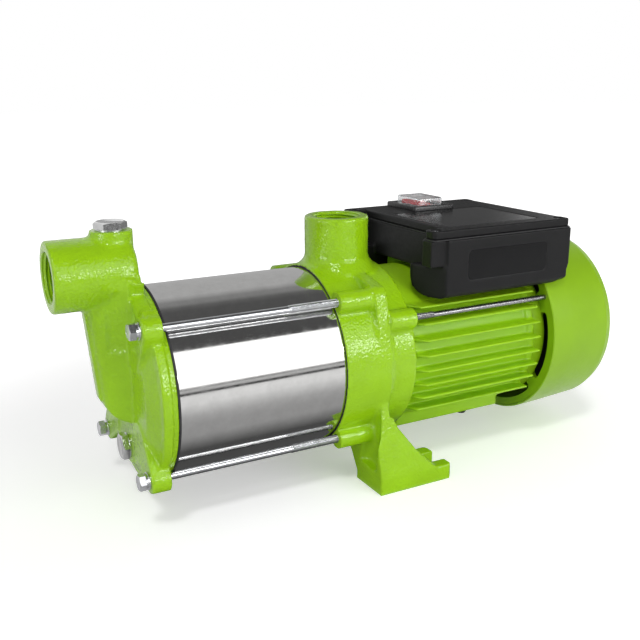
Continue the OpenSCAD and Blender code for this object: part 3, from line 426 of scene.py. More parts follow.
def satin(name, low, high):
    """Smoother paint of the motor's parts."""
    made = Mat(name, Metallic=0.0, Specular_IOR_Level=0.38)
    made.colours(made.noise(30, 3), [(0.3, shade(GREEN, low)), (0.7, shade(GREEN, high))])
    made.rough(made.noise(3, 2), 0.3, 0.4)
    made.bumps((made.noise(1.6, 2, 0.5), 0.06, 0.8), (made.noise(0.35, 1.0), 0.015, 0.6))
    return made.mat


# One motor paint in two tones: the frame, shield and cover darker as painted shade, the fins
# lighter as painted light.
SHADED_FRAME_PAINT = satin("frame_paint", 0.75, 0.83)
LIT_FIN_PAINT = satin("lit_fin_paint", 0.98, 1.07)

m = Mat("sleeve_steel", Metallic=1.0)
lines = m.noise(0.35, 3, 0.6, (1, 0.006, 0.006))
m.colours(m.noise(9, 3, 0.6), [(0.3, (0.7, 0.695, 0.685)), (0.7, (0.77, 0.765, 0.755))])
m.rough(m.noise(6, 3, 0.6, (1, 0.2, 0.2)), 0.06, 0.12)
m.bumps((lines, 0.0015, 0.5))
SLEEVE = m.mat


def metal(name, colour, low, high, size=1.2):
    made = Mat(name, Metallic=1.0)
    made.colours(made.noise(6, 3), [(0.3, shade(colour, 0.86)), (0.7, shade(colour, 1.08))])
    made.rough(made.noise(size, 3, 0.6), low, high)
    made.bumps((made.noise(0.8, 2), 0.004, 0.5))
    return made.mat


ZINC = metal("zinc", (0.68, 0.69, 0.71), 0.16, 0.28)
ROD = metal("rod_zinc", (0.34, 0.34, 0.35), 0.2, 0.32)
PLUG = metal("plug_steel", (0.7, 0.7, 0.7), 0.12, 0.2)
SHAFT = metal("shaft_steel", (0.66, 0.66, 0.66), 0.16, 0.3)
BEARING = metal("bearing_steel", (0.75, 0.75, 0.77), 0.08, 0.16)
BRASS = metal("brass", (0.7, 0.5, 0.2), 0.25, 0.4)
COPPER = metal("copper", (0.62, 0.27, 0.12), 0.3, 0.5, 0.5)
CORE = metal("lamination", (0.3, 0.3, 0.32), 0.45, 0.65, 0.6)


def moulding(name, colour, low, high, grain=0.45, depth=0.02, **sockets):
    made = Mat(name, **sockets)
    made.colours(made.noise(14, 3), [(0.3, shade(colour, 0.9)), (0.7, shade(colour, 1.12))])
    made.rough(made.noise(2.5, 2), low, high)
    made.bumps((made.noise(grain, 2, 0.6), depth, 0.8))
    return made.mat


BOX = moulding("box_plastic", (0.009, 0.009, 0.0095), 0.36, 0.48, 0.5, 0.02,
               Specular_IOR_Level=0.2)
PANEL = moulding("panel_film", (0.006, 0.006, 0.0065), 0.16, 0.22, 0.8, 0.004,
                 Specular_IOR_Level=0.2)
SWITCH = moulding("switch_plastic", (0.014, 0.014, 0.015), 0.22, 0.32, 0.4, 0.01)
RUBBER = moulding("seal_rubber", (0.02, 0.02, 0.021), 0.55, 0.75, 0.4, 0.02)
CARBON = moulding("carbon", (0.035, 0.035, 0.04), 0.3, 0.45)
CERAMIC = moulding("ceramic", (0.8, 0.79, 0.74), 0.12, 0.2)
STAGE = moulding("stage_plastic", (0.05, 0.05, 0.05), 0.4, 0.55)
FAN = moulding("fan_plastic", (0.022, 0.022, 0.023), 0.4, 0.55)
CAPACITOR = moulding("capacitor_case", (0.6, 0.61, 0.63), 0.2, 0.3)
TERMINAL = moulding("terminal_white", (0.72, 0.7, 0.64), 0.35, 0.5)
RED = moulding("rocker_red", (0.48, 0.012, 0.02), 0.14, 0.2, 1.2, 0.004)
MARK = moulding("mark_white", (0.78, 0.78, 0.76), 0.3, 0.4)
CLEAR = moulding("cover_clear", (0.93, 0.95, 0.96), 0.03, 0.1, 3.0, 0.02,
                 Transmission_Weight=1.0, IOR=1.43)

HAZE = moulding("cover_haze", (0.86, 0.88, 0.89), 0.12, 0.2, 3.0, 0.02,
                Transmission_Weight=0.6, IOR=1.43)

SLOT_LOOKS = {
    "casting_paint": CASTING, "casing_paint": CASTING, "frame_paint": SHADED_FRAME_PAINT,
    "sleeve_steel": SLEEVE, "zinc": ZINC, "plug_steel": PLUG, "shaft_steel": SHAFT,
    "bearing_steel": BEARING, "brass": BRASS, "seal_rubber": RUBBER, "carbon": CARBON,
    "ceramic": CERAMIC, "stage_plastic": STAGE, "lamination": CORE, "copper": COPPER,
    "fan_plastic": FAN, "box_plastic": BOX, "rocker_red": RED, "cover_clear": CLEAR,
    "capacitor_case": CAPACITOR, "terminal_white": TERMINAL,
}
for row in frame["record"]["subparts"]:
    node, look = CAD_NODES[row["node"]], SLOT_LOOKS[row["material_slot"]]
    for slot in node.material_slots:
        slot.material = look

# ---------------------------------------------------------------- castings

def near_axis(p, axis, centre, radius):
    """Share of the hold within a radius of a line along x or z."""
    if axis == "x":
        d = np.hypot(p[:, 1] - centre[0], p[:, 2] - centre[1])
    else:
        d = np.hypot(p[:, 0] - centre[0], p[:, 1] - centre[1])
    return np.clip((radius - d) / 0.8 + 1, 0, 1)


def suction_hold(p):
    """Share of each point that stays as machined: bores, seats, sealing face."""
    hold = near_axis(p, "x", (0.0, INLET_Z), 17.4) * (p[:, 0] < -150)
    hold = np.maximum(hold, near_axis(p, "z", (-138.0, 0.0), 8.0) * (p[:, 2] > 92))
    hold = np.maximum(hold, near_axis(p, "x", (0.0, -45.0), 6.0))
    for a in LUG_ANGLES:
        y, z = LUG_R * math.cos(math.radians(a)), LUG_R * math.sin(math.radians(a))
        hold = np.maximum(hold, near_axis(p, "x", (y, z), 4.4))
    hold = np.maximum(hold, (p[:, 0] > -126) * 1.0)
    return hold


def outlet_hold(p):
    """The same for the outlet casing, with the undersides of its feet."""
    hold = near_axis(p, "z", (OUTLET_X, 0.0), 17.4) * (p[:, 2] > 80)
    hold = np.maximum(hold, (p[:, 0] < 1.2) * 1.0)
    hold = np.maximum(hold, (p[:, 2] < -88.6) * 1.0)
    return hold


# Front of the leaning inlet channel at the port's height, its lean, and the axis
# of its rounded flanks at the shaft's height.
NOSE_X, LEAN, FLANK_X = -151.5, 0.0928, -144.28


def solid(name, parts):
    """Closed helper mesh in the frame, from lofts in millimetres."""
    bm = bmesh.new()
    for verts, faces in parts:
        made = [bm.verts.new(MM @ Vector(v)) for v in verts]
        for f in faces:
            bm.faces.new([made[i] for i in f])
    bmesh.ops.recalc_face_normals(bm, faces=bm.faces)
    mesh = bpy.data.meshes.new(name)
    bm.to_mesh(mesh)
    bm.free()
    obj = bpy.data.objects.new(name, mesh)
    SCENE.collection.objects.link(obj)
    return obj


def combined(obj, tool, operation):
    """Applies a boolean with a helper mesh, which it removes."""
    mod = obj.modifiers.new("cut", "BOOLEAN")
    mod.operation, mod.solver, mod.object = operation, "EXACT", tool
    baked(obj)
    bpy.data.objects.remove(tool)
    return obj


def rim_cutters():
    """What the webs beside the top lugs hold beyond the flange's circle."""
    flange_r, far_r, steps, front, back = 69.2, 84, 12, -136.0, -124.6
    parts = []
    for a0, a1 in ((52.6, 70.6), (109.4, 127.4)):
        ring = []
        for r, order in ((flange_r, range(steps + 1)), (far_r, range(steps, -1, -1))):
            for k in order:
                a = math.radians(a0 + (a1 - a0) * k / steps)
                ring.append((r * math.cos(a), r * math.sin(a)))
        parts.append(loft([[(x, y, z) for y, z in ring] for x in (front, back)], (True, True)))
    return parts


def flank_cutters():
    """Front corners of the neck's block, which stand out of the leaning channel."""
    low, high, steps, tube_r = 28, 69, 14, 23.7
    inner, outer = 25.0, 25.4
    parts = []
    for side in (-1, 1):
        rings = []
        for k in range(steps + 1):
            z = low + (high - low) * k / steps
            nose = NOSE_X - LEAN * (z - INLET_Z)
            tube = math.sqrt(max(0.0, tube_r ** 2 - (INLET_Z - z) ** 2))
            ring = []
            for x in (-149.0, -145.0, -141.0, -137.5):
                flank = 14.1 + (x - nose) * 0.72
                ring.append((x, side * min(inner, max(flank, tube + 0.3)), z))
            ring += [(-137.5, side * outer, z), (-149.0, side * outer, z)]
            rings.append(ring)
        parts.append(loft(rings, (True, True)))
    return parts


def nose_fill():
    """Inner lining that closes the flanks of the channel beside the eye."""
    outer, inner, reach, offset = 8.9, 6.3, 12.0, 5
    parts = []
    for side in (-1, 1):
        verts = []
        for radius, z in ((outer, -reach), (outer, reach), (inner, reach), (inner, -reach)):
            centre = FLANK_X - LEAN * z
            for a in range(40, 181, 10):
                c, s = math.cos(math.radians(a)), math.sin(math.radians(a))
                verts.append((centre + radius * c, side * (offset + radius * s), z))
        n = len(verts) // 4
        faces = []
        for k in range(n - 1):
            for j in range(4):
                a, b = j * n, ((j + 1) % 4) * n
                faces.append((a + k, a + k + 1, b + k + 1, b + k))
        faces.append(tuple(j * n for j in range(4)))
        faces.append(tuple(j * n + n - 1 for j in range(3, -1, -1)))
        parts.append((verts, faces))
    return parts


skin = cad_copy("suction_casing", "suction_casing_skin")
combined(skin, solid("tool", rim_cutters()), "DIFFERENCE")
combined(skin, solid("tool", flank_cutters()), "DIFFERENCE")
combined(skin, solid("tool", nose_fill()), "UNION")
remeshed(skin, 0.75)
soften(skin, 0.75, 5, 34, suction_hold)
roughen(skin, suction_hold)
dress(skin, CASTING, "pump", ("suction_casing",), 50)

# Black rubber ring behind the suction flange: a gasket, and painted shade standing in for the dark
# gap between flange and sleeve.
piece("front_gasket_gap_shade", [(*washer(65.1, 68.1, 1.4, 144), aim((X_STAGES, 0, 0), (1, 0, 0)))], RUBBER)

skin = remeshed(cad_copy("outlet_casing", "outlet_casing_skin"), 0.85)
soften(skin, 0.85, 5, 34, outlet_hold)
roughen(skin, outlet_hold)
dress(skin, CASTING, "pump", ("outlet_casing",), 50)


def port_thread(name, place):
    """Internal pipe thread of a port, from its mouth at z = 0 down to -18."""
    pitch, length, root, crest, n, per = 2.309, 17.6, 16.62, 15.15, 96, 8
    rows = int(length / pitch * per)
    rings = []
    for j in range(rows + 1):
        z = -0.3 - length * j / rows
        fade = min(1.0, j / per, (rows - j) / per)
        ring = []
        for k in range(n):
            phase = (z / pitch - k / n) % 1.0
            rise = min(1.0, max(0.0, 1.2 - abs(phase - 0.5) * 2 * 1.35)) * fade
            rr = root - (root - crest) * rise
            a = TAU * k / n
            ring.append((rr * math.cos(a), rr * math.sin(a), z))
        rings.append(ring)
    back = [ring_at(root + 0.25, -0.3 - length, n), ring_at(root + 0.25, -0.3, n)]
    verts, faces = loft(rings + back, loop=True)
    return piece(name, [(verts, faces, place)], CASTING, sharp=25)


port_thread("inlet_thread", aim((-180.2, 0, INLET_Z), (-1, 0, 0)))
port_thread("outlet_thread", aim((OUTLET_X, 0, 101.9), (0, 0, 1)))

# ---------------------------------------------------------------- motor
skin = remeshed(cad_copy("motor_frame", "motor_frame_skin"), 0.8)
soften(skin, 0.8, 2, 10)
dress(skin, LIT_FIN_PAINT, "pump", ("motor_frame",), 50)


def vent_ring(x0, x1, r0, r1, slots, low, high, step=0.75):
    """Flat ring across the shaft, with round-ended arc slots in degrees."""
    count = int(360 / step)
    half, mid = (high - low) / 2, (high + low) / 2

    def opening(a):
        """Half the slot's height at an angle, or None beside the slots."""
        found = None
        for a0, a1 in slots:
            if (a - a0) % 360 <= (a1 - a0) % 360:
                along = math.radians(min((a - a0) % 360, (a1 - a) % 360)) * mid
                end = math.sqrt(max(0.0, half ** 2 - (half - along) ** 2))
                found = half if along >= half else end
        return found

    radii = [opening(k * step) for k in range(count)]
    verts, faces = [], []
    for k, cut in enumerate(radii):
        shut = cut or 0.0
        c, s = math.cos(math.radians(k * step)), math.sin(math.radians(k * step))
        for x in (x0, x1):
            verts += [(x, r * c, r * s) for r in (r0, mid - shut, mid + shut, r1)]

    def v(k, side, j):
        return (k % count) * 8 + side * 4 + j

    for k in range(count):
        n = k + 1
        is_open = radii[k] is not None and radii[n % count] is not None
        for side in (0, 1):
            faces.append((v(k, side, 0), v(n, side, 0), v(n, side, 1), v(k, side, 1)))
            faces.append((v(k, side, 2), v(n, side, 2), v(n, side, 3), v(k, side, 3)))
            if not is_open and (radii[k] or radii[n % count]):
                faces.append((v(k, side, 1), v(n, side, 1), v(n, side, 2), v(k, side, 2)))
        was_open = radii[k - 1] is not None and radii[k] is not None
        if is_open != was_open and radii[k]:
            faces.append((v(k, 0, 1), v(k, 0, 2), v(k, 1, 2), v(k, 1, 1)))
        for j in (0, 3) + ((1, 2) if is_open else ()):
            faces.append((v(k, 0, j), v(n, 0, j), v(n, 1, j), v(k, 1, j)))
    return verts, faces


slots = []
for a in ROD_ANGLES:
    slots += [(a + 9.5, a + 63), (a + 71.5, a + 115.5)]
vents = vent_ring(180.3, 184.0, 56.6, 71.2, slots, 57.2, 65.6)
profile = [(166, 22), (166, 17.6), (178, 17.6), (178, 9), (181.5, 9), (181.5, 21), (177, 26),
           (177, 53.5), (178, 55.5), (184, 56.2), (184, 56.7), (180.2, 56.7), (180.2, 60),
           (171.1, 60), (171.1, 50.4), (167, 50.4), (167, 46.5), (172, 44), (172, 24)]
piece("rear_shield_skin", [turned(profile, 120), vents], SHADED_FRAME_PAINT,
      replaces=("rear_shield",), sharp=32)


def fan_parts(blades=8, rows=8, hub=11.5, rim=54):
    """Dished plate with curved blades."""
    plate = [(190, 6.6), (190, 13), (191, 16), (203.2, 53.4), (204, 54), (204.6, 53.2),
             (192.6, 15.5), (196, 12.4), (212, 11.6), (212, 6.6)]
    parts = [turned(plate, 96)]
    for j in range(blades):
        base = TAU * j / blades
        rings = []
        for k in range(rows + 1):
            r = hub + (rim - hub) * k / rows
            sweep = 0.16 * math.sin(math.pi * k / rows)
            back = 211.5 - 5.5 * (k / rows) ** 2
            front = 191.6 + max(0.0, r - 16) * 0.33
            half = 0.95 / r
            rings.append([(x, r * math.cos(base + sweep + h), r * math.sin(base + sweep + h))
                          for x, h in ((front, -half), (back, -half * 0.7), (back, half * 0.7),
                                       (front, half))])
        parts.append(loft(rings, (True, True)))
    return parts


piece("fan_wheel", fan_parts(), FAN, body="rotor", replaces=("fan",), sharp=35)

# ---------------------------------------------------------------- tie bolts and washers
X_LUG, X_SEAT = -137.9, -140.6


def around(radius, degrees):
    """Place of (y, z) round the shaft."""
    a = math.radians(degrees)
    return radius * math.cos(a), radius * math.sin(a)


bolts, plains, springs = [], [], []
for angle in LUG_ANGLES:
    y, z = around(LUG_R, angle)
    spin = rng.uniform(-0.5, 0.5)
    head = aim((X_SEAT, y, z), (-1, 0, 0), spin)
    bolts.append((*hex_head(10, 4.2), head))
    shank = thread_rings(3.0, 1.0, -159.0, -104.6, 0.3)
    rings = [[(0, 0, -159.6)], ring_at(2.2, -159.6, 28)] + shank
    rings += [ring_at(2.62, -104.2, 28), ring_at(2.62, -0.6, 28), ring_at(2.9, 0.1, 28),
              [(0, 0, 0.1)]]
    bolts.append((*loft(rings), head))
    plains.append((*washer(3.2, 6.0, 1.2), aim((X_LUG, y, z), (-1, 0, 0))))
    springs.append((*spring_washer(3.1, 5.4, 1.5),
                    aim((X_LUG - 1.2, y, z), (-1, 0, 0), rng.uniform(0, TAU))))
piece("tie_bolts_set", bolts, ZINC, replaces=("tie_bolts",))
piece("tie_washers_set", plains, ZINC, replaces=("tie_washers",))
piece("tie_spring_washers_set", springs, ZINC, replaces=("tie_spring_washers",))

rods = []
for angle in ROD_ANGLES:
    y, z = around(ROD_R, angle)
    back = aim((184, y, z), (1, 0, 0), rng.uniform(-0.4, 0.4))
    rods.append((*hex_head(7, 3.5), back))
    rings = [[(0, 0, -142)], ring_at(1.9, -142, 24)]
    rings += thread_rings(2.5, 0.8, -141.6, -109, 0.25, n=24)
    rings += [ring_at(2.2, -108.6, 24), ring_at(2.2, 0.05, 24), [(0, 0, 0.05)]]
    rods.append((*loft(rings), back))
piece("through_bolts_set", rods, ROD, replaces=("through_bolts",))

# ---------------------------------------------------------------- plugs
PRIME_X = -138.0
seat = aim((PRIME_X, 0, 106.2), (0, 0, 1), -0.12)
stem = [[(0, 0, -7.2)], ring_at(4.5, -7.2, 40), ring_at(4.5, -13.2, 40), ring_at(6.2, -13.2, 40)]
stem += thread_rings(7.0, 1.5, -12.9, -1.6, 0.8, n=40)
stem += [ring_at(6.3, -1.4, 40), ring_at(6.3, 0.05, 40), [(0, 0, 0.05)]]
piece("priming_plug_hex", [(*hex_head(19, 4.5), seat), (*loft(stem), seat)], PLUG,
      body="priming_plug", replaces=("priming_plug",))
piece("priming_washer_ring", [(*washer(7.05, 10.0, 1.2, 72), aim((PRIME_X, 0, 105), (0, 0, 1)))],
      ZINC, body="priming_washer", replaces=("priming_washer",))
seat = aim((-137.7, 0, -45), (-1, 0, 0), 0.1)
stem = [[(0, 0, -9.2)], ring_at(4.2, -9.2, 36)]
stem += thread_rings(5.0, 1.5, -8.9, -1.5, 0.75, n=36)
stem += [ring_at(4.4, -1.3, 36), ring_at(4.4, 0.05, 36), [(0, 0, 0.05)]]
piece("drain_plug_hex", [(*hex_head(17, 4.5), seat), (*loft(stem), seat)], PLUG,
      body="drain_plug", replaces=("drain_plug",))
piece("drain_washer_ring", [(*washer(5.05, 9.0, 1.2, 64), aim((-136.5, 0, -45), (-1, 0, 0)))],
      ZINC, body="drain_washer", replaces=("drain_washer",))

# ---------------------------------------------------------------- terminal box
skin = remeshed(cad_copy("terminal_box", "terminal_box_skin"), 0.8)
soften(skin, 0.8, 3, 6)
dress(skin, BOX, "pump", ("terminal_box",), 50)
skin = remeshed(cad_copy("box_lid", "box_lid_skin"), 0.65)
soften(skin, 0.65, 3, 6)
dress(skin, BOX, "pump", ("box_lid",), 50)

screws = []
for x in (76, 190):
    for y in (-58, 58):
        place = aim((x, y, 92), (0, 0, 1), rng.uniform(0, TAU))
        screws.append((*pan_screw(3.2, 2.2), place))
        rings = [[(0, 0, -14)]] + thread_rings(1.75, 1.2, -13.8, -0.6, 0.4, n=20, per=5)
        screws.append((*loft(rings + [ring_at(1.6, 0.05, 20), [(0, 0, 0.05)]]), place))
piece("lid_screws_set", screws, ZINC, replaces=("lid_screws",))


def plate(w, l, r, t, edge=0.15):
    """Thin bare plate with a soft edge, on z = 0."""
    rings = [round_rect(w, l, r, 0), round_rect(w, l, r, t - edge),
             round_rect(w - 2 * edge, l - 2 * edge, r - edge, t)]
    return loft(rings, caps=(True, True))


piece("near_panel", [(*plate(73.2, 21.8, 3.7, 0.45),
                      aim((137, -64.4, 68.3), (0, -1, 0)))], PANEL)
piece("lid_panel", [(*plate(84, 70, 2.5, 0.5), Matrix.Translation((133.5, -15.5, 94.2)))],
      PANEL)

# ---------------------------------------------------------------- switch
SX, SY, TOP = 132.0, 44.0, 95.0
hole = [round_rect(20, 28.4, 1.2, 2.5), round_rect(20, 28.4, 1.2, -7)]
rings = [round_rect(24, 30, 1, -15), round_rect(24, 30, 1, 0.02),
         round_rect(39.5, 41.4, 2.2, 0.02, cy=-0.8), round_rect(39.5, 41.4, 2.2, 2.4, cy=-0.8),
         round_rect(38.9, 40.8, 2.0, 3.2, cy=-0.8), round_rect(37.9, 39.8, 1.6, 3.5, cy=-0.8),
         round_rect(27.4, 34.6, 2.6, 3.5),
         round_rect(26.6, 33.8, 2.2, 3.0), round_rect(20.8, 29.2, 1.4, 3.0)] + hole
parts = [(*loft(rings, caps=(True, True)), Matrix.Translation((SX, SY, TOP)))]
for y in (-8, 0, 8):
    rings = [round_rect(6, 0.8, 0.2, -22, 3), round_rect(6, 0.8, 0.2, -14.9, 3)]
    parts.append((*loft([[(px, py + y, pz) for px, py, pz in ring] for ring in rings],
                        caps=(True, True)), Matrix.Translation((SX, SY, TOP))))
piece("switch_bezel", parts, SWITCH, replaces=("switch_body",))


def rocker_section(inset):
    """Side outline of the rocker in y and z, drawn in by inset."""
    w, base, top = 13.0 - inset, -4.0 + inset, 3.2
    pts = [(-w + 1, base), (-w, 1.0)]
    pts += [(-w + 0.1, top - 0.9 - inset), (-w + 0.5, top - 0.25 - inset), (-w + 1.2, top - inset)]
    for k in range(1, 12):
        y = (-w + 1.2) + (2 * w - 2.4) * k / 12
        pts.append((y, top - inset - 1.9 * (1 - (y / (w - 1.2)) ** 2)))
    pts += [(w - 1.2, top - inset), (w - 0.5, top - 0.25 - inset), (w - 0.1, top - 0.9 - inset)]
    pts += [(w, 1.0), (w - 1, base)]
    return pts


PIVOT = Matrix.Translation((SX, SY, 96.0)) @ Matrix.Rotation(math.radians(7), 4, "X")
rings = [[(x, y, z) for y, z in rocker_section(inset)]
         for x, inset in ((-9, 0.6), (-8.8, 0.2), (-8.3, 0), (8.3, 0), (8.8, 0.2), (9, 0.6))]
pin = (*lathe([(-10.4, 0), (-10.4, 1.4), (10.4, 1.4), (10.4, 0)], 24),
       PIVOT @ aim((0, 0, 0), (1, 0, 0)))
piece("rocker_button", [(*loft(rings, caps=(True, True)), PIVOT), pin], RED, body="rocker",
      replaces=("switch_rocker",))


def mark_height(y):
    return 3.2 - 1.9 * (1 - (y / 11.8) ** 2)


def on_rocker(y, tilt):
    """Placement on the hollow face of the rocker."""
    return PIVOT @ Matrix.Translation((0, y, mark_height(y))) @ Matrix.Rotation(tilt, 4, "X")


bar = [round_rect(0.9, 4.2, 0.2, z, 3) for z in (-0.1, 0.06)]
circle = [(-0.1, 1.6), (-0.1, 2.4), (0.06, 2.4), (0.06, 1.6)]
marks = [(*loft(bar, caps=(True, True)), on_rocker(7.4, 0.13)),
         (*lathe(circle, 40, loop=True), on_rocker(-7.4, -0.13))]
piece("rocker_marks", marks, MARK, body="rocker")

hood_wall = [(24.4, 32.4, 2.6, 3.5), (24.0, 32.0, 2.5, 7.9), (23.6, 31.6, 2.4, 8.5),
             (22.8, 30.8, 2.1, 8.8)]
outer = [round_rect(w, l, r, z) for w, l, r, z in hood_wall]
inner = [round_rect(w - 1.7, l - 1.7, r - 0.7, z - (0.0 if z < 4 else 0.75))
         for w, l, r, z in hood_wall]
hood = loft(list(reversed(inner)) + outer, (True, True))
hood = piece("switch_hood", [(*hood, Matrix.Translation((SX, SY, TOP)))], CLEAR,
             replaces=("switch_cover",))
hood.data.materials.append(HAZE)
for face in hood.data.polygons:
    face.material_index = 1 if face.normal.z > 0.8 and face.area > 1e-4 else 0

# ---------------------------------------------------------------- stage, light and camera
def flag(name, corners, stops):
    """Plane that only reflections see; its glow follows y through stops of (y, grey)."""
    mesh = bpy.data.meshes.new(name)
    mesh.from_pydata(corners, [], [(0, 1, 2, 3)])
    obj = bpy.data.objects.new(name, mesh)
    SCENE.collection.objects.link(obj)
    mat = bpy.data.materials.new(name)
    mat.use_nodes = True
    tree = mat.node_tree
    tree.nodes.remove(tree.nodes["Principled BSDF"])
    new, link = tree.nodes.new, tree.links.new
    place, axes = new("ShaderNodeNewGeometry"), new("ShaderNodeSeparateXYZ")
    link(place.outputs["Position"], axes.inputs[0])
    first, last = stops[0][0], stops[-1][0]
    span = new("ShaderNodeMapRange")
    span.inputs["From Min"].default_value = first
    span.inputs["From Max"].default_value = last
    link(axes.outputs["Y"], span.inputs["Value"])
    ramp = new("ShaderNodeValToRGB")
    while len(ramp.color_ramp.elements) < len(stops):
        ramp.color_ramp.elements.new(0.5)
    for element, (y, grey) in zip(ramp.color_ramp.elements, stops):
        element.position = (y - first) / (last - first)
        element.color = (grey, grey, grey, 1)
    link(span.outputs["Result"], ramp.inputs["Fac"])
    glow = new("ShaderNodeEmission")
    link(ramp.outputs["Color"], glow.inputs["Color"])
    link(glow.outputs[0], tree.nodes["Material Output"].inputs["Surface"])
    mesh.materials.append(mat)
    obj.visible_camera = obj.visible_diffuse = obj.visible_shadow = False
    obj.visible_transmission = obj.visible_volume_scatter = False
    return obj


flag("flag_floor", [(-2.5, -1.5, 0.002), (4.0, -1.5, 0.002), (4.0, 0.4, 0.002), (-2.5, 0.4, 0.002)],
     [(-1.5, 0.02), (-0.87, 0.02), (-0.84, 0.88), (-0.5, 0.88), (-0.33, 0.84), (-0.24, 0.66),
      (-0.18, 0.46), (-0.14, 0.38), (-0.1, 0.36), (-0.082, 0.24), (-0.06, 0.08), (0.4, 0.05)])
flag("flag_floor_left", [(-2.5, -0.3, 0.003), (-0.165, -0.3, 0.003), (-0.165, 2.5, 0.003),
                         (-2.5, 2.5, 0.003)], [(-0.3, 0.4), (0.0, 0.5), (0.3, 0.8), (2.5, 0.85)])
flag("flag_floor_right", [(0.13, -0.45, 0.003), (2.5, -0.45, 0.003), (2.5, 0.4, 0.003),
                          (0.13, 0.4, 0.003)], [(-0.45, 0.9), (0.4, 0.85)])
flag("flag_left", [(-1.6, -1.6, 0.0), (-1.6, 1.6, 0.0), (-1.6, 1.6, 1.8), (-1.6, -1.6, 1.8)],
     [(-1.6, 0.95), (0.0, 0.8), (1.6, 0.6)])
flag("flag_over", [(-0.8, -1.3, 1.4), (2.6, -1.3, 1.4), (2.6, 0.6, 1.4), (-0.8, 0.6, 1.4)],
     [(-1.3, 0.08), (0.15, 0.1), (0.3, 0.14), (0.42, 0.25), (0.6, 0.27)])
for k, (x0, x1, stops) in enumerate(((-0.8, 0.17, [(0.6, 0.9), (1.7, 0.9)]),
                                      (0.17, 0.72, [(0.6, 0.3), (0.75, 0.48), (1.7, 0.45)]),
                                      (0.72, 1.38, [(0.6, 0.16), (1.7, 0.16)]),
                                      (1.38, 3.4, [(0.6, 0.9), (1.7, 0.9)]))):
    flag(f"flag_back_{k}", [(x0, 0.6, 1.4), (x1, 0.6, 1.4), (x1, 1.7, 0.0), (x0, 1.7, 0.0)], stops)
flag("flag_back_floor", [(-0.8, 0.4, 0.002), (3.0, 0.4, 0.002), (3.0, 1.7, 0.002),
                         (-0.8, 1.7, 0.002)], [(0.4, 0.2), (1.7, 0.36)])

bm = bmesh.new()
bmesh.ops.create_grid(bm, x_segments=2, y_segments=2, size=8)
mesh = bpy.data.meshes.new("floor")
bm.to_mesh(mesh)
bm.free()
floor = bpy.data.objects.new("floor", mesh)
SCENE.collection.objects.link(floor)
mat = bpy.data.materials.new("floor")
mat.use_nodes = True
tree = mat.node_tree
tree.nodes.remove(tree.nodes["Principled BSDF"])
new, link = tree.nodes.new, tree.links.new
diffuse = new("ShaderNodeBsdfDiffuse")
diffuse.inputs["Color"].default_value = (0.95, 0.95, 0.95, 1)
glow = new("ShaderNodeEmission")
glow.inputs["Strength"].default_value = 1.0
geometry = new("ShaderNodeNewGeometry")
length = new("ShaderNodeVectorMath")
length.operation = "LENGTH"
link(geometry.outputs["Position"], length.inputs[0])
fade = new("ShaderNodeMapRange")
fade.interpolation_type = "SMOOTHSTEP"
for key, value in (("From Min", 0.26), ("From Max", 0.62)):
    fade.inputs[key].default_value = value
link(length.outputs["Value"], fade.inputs["Value"])
path = new("ShaderNodeLightPath")
both = new("ShaderNodeMath")
both.operation = "MULTIPLY"
link(fade.outputs["Result"], both.inputs[0])
link(path.outputs["Is Camera Ray"], both.inputs[1])
mix = new("ShaderNodeMixShader")
link(both.outputs[0], mix.inputs[0])
link(diffuse.outputs[0], mix.inputs[1])
link(glow.outputs[0], mix.inputs[2])
lift = new("ShaderNodeEmission")
link(path.outputs["Is Camera Ray"], lift.inputs["Strength"])
lift.inputs["Color"].default_value = (0.3, 0.3, 0.3, 1)
total = new("ShaderNodeAddShader")
link(mix.outputs[0], total.inputs[0])
link(lift.outputs[0], total.inputs[1])
link(total.outputs[0], tree.nodes["Material Output"].inputs["Surface"])
mesh.materials.append(mat)

world = bpy.data.worlds.new("studio")
SCENE.world = world
world.use_nodes = True
tree = world.node_tree
new, link = tree.nodes.new, tree.links.new
path = new("ShaderNodeLightPath")


def backdrop(strength):
    node = new("ShaderNodeBackground")
    node.inputs["Color"].default_value = (1, 1, 1, 1)
    node.inputs["Strength"].default_value = strength
    return node.outputs[0]


def choose(fac, otherwise, then):
    node = new("ShaderNodeMixShader")
    link(fac, node.inputs[0])
    link(otherwise, node.inputs[1])
    link(then, node.inputs[2])
    return node.outputs[0]


tree.nodes.remove(tree.nodes["Background"])
seen = new("ShaderNodeMath")
seen.operation = "MAXIMUM"
link(path.outputs["Is Camera Ray"], seen.inputs[0])
link(path.outputs["Is Transmission Ray"], seen.inputs[1])
room = choose(path.outputs["Is Glossy Ray"], backdrop(0.4), backdrop(0.3))
link(choose(seen.outputs[0], room, backdrop(1.0)), tree.nodes["World Output"].inputs["Surface"])


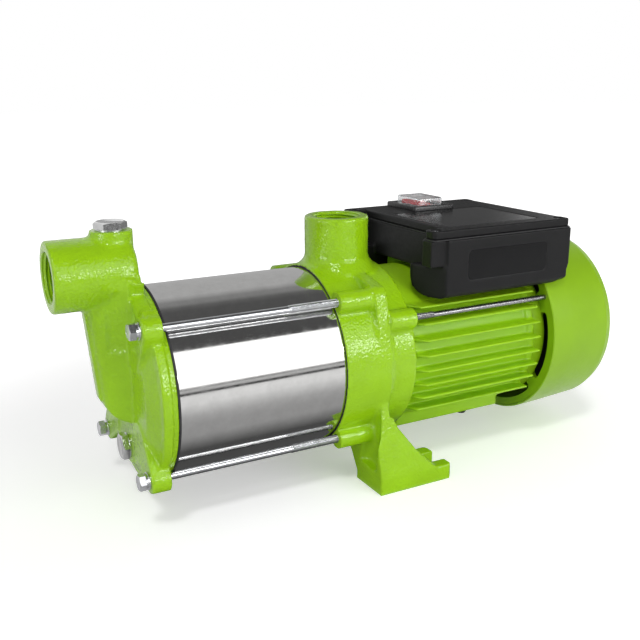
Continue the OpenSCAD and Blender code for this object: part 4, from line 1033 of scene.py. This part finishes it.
def softbox(name, centre, target, size, radiance):
    data = bpy.data.lights.new(name, "AREA")
    data.shape = "RECTANGLE"
    data.size, data.size_y = size
    data.energy = radiance * size[0] * size[1] * math.pi
    obj = bpy.data.objects.new(name, data)
    SCENE.collection.objects.link(obj)
    obj.location = centre
    way = Vector(target) - Vector(centre)
    obj.rotation_mode = "QUATERNION"
    obj.rotation_quaternion = way.to_track_quat("-Z", "Y")
    return obj


softbox("softbox_front", (0.5, -1.15, 0.69), (0.5, 0.0, 0.69), (1.3, 1.1), 1.42)
softbox("softbox_strip", (0.45, -1.1, 0.42), (0.0, 0.0, 0.12), (0.8, 0.14), 9.0)
softbox("softbox_side", (-1.2, -0.35, 0.28), (-0.15, 0.0, 0.1), (0.4, 0.25), 6.0)

sun = bpy.data.lights.new("sun", "SUN")
sun.energy = 0.75
sun.angle = math.radians(10)
lamp = bpy.data.objects.new("sun", sun)
SCENE.collection.objects.link(lamp)
lamp.rotation_mode = "QUATERNION"
lamp.rotation_quaternion = Vector((0.35, 0.45, -0.82)).to_track_quat("-Z", "Y")

# The photograph's camera: angles in degrees, lengths in millimetres, focus in pixels.
AZ, EL, ROLL = (math.radians(v) for v in (-28.15, 15.772, -0.304))
TARGET, DISTANCE, FOCUS, PHOTO_WIDTH, SENSOR = (14.066, 0, 23.732), 632.918, 845, 640, 36
back = Vector((math.sin(AZ) * math.cos(EL), -math.cos(AZ) * math.cos(EL), math.sin(EL)))
right = Vector((math.cos(AZ), math.sin(AZ), 0))
up = back.cross(right)
right, up = (math.cos(ROLL) * right + math.sin(ROLL) * up,
             -math.sin(ROLL) * right + math.cos(ROLL) * up)
centre = Vector(TARGET) + back * DISTANCE
data = bpy.data.cameras.new("camera")
data.sensor_width = SENSOR
data.lens = FOCUS * SENSOR / PHOTO_WIDTH
data.clip_start, data.clip_end = 0.05, 50
camera = bpy.data.objects.new("camera", data)
SCENE.collection.objects.link(camera)
turn = Matrix((right, up, back)).transposed().to_4x4()
camera.matrix_world = Matrix.Translation(MM @ centre) @ turn
SCENE.camera = camera
SCENE.view_settings.view_transform = "Standard"
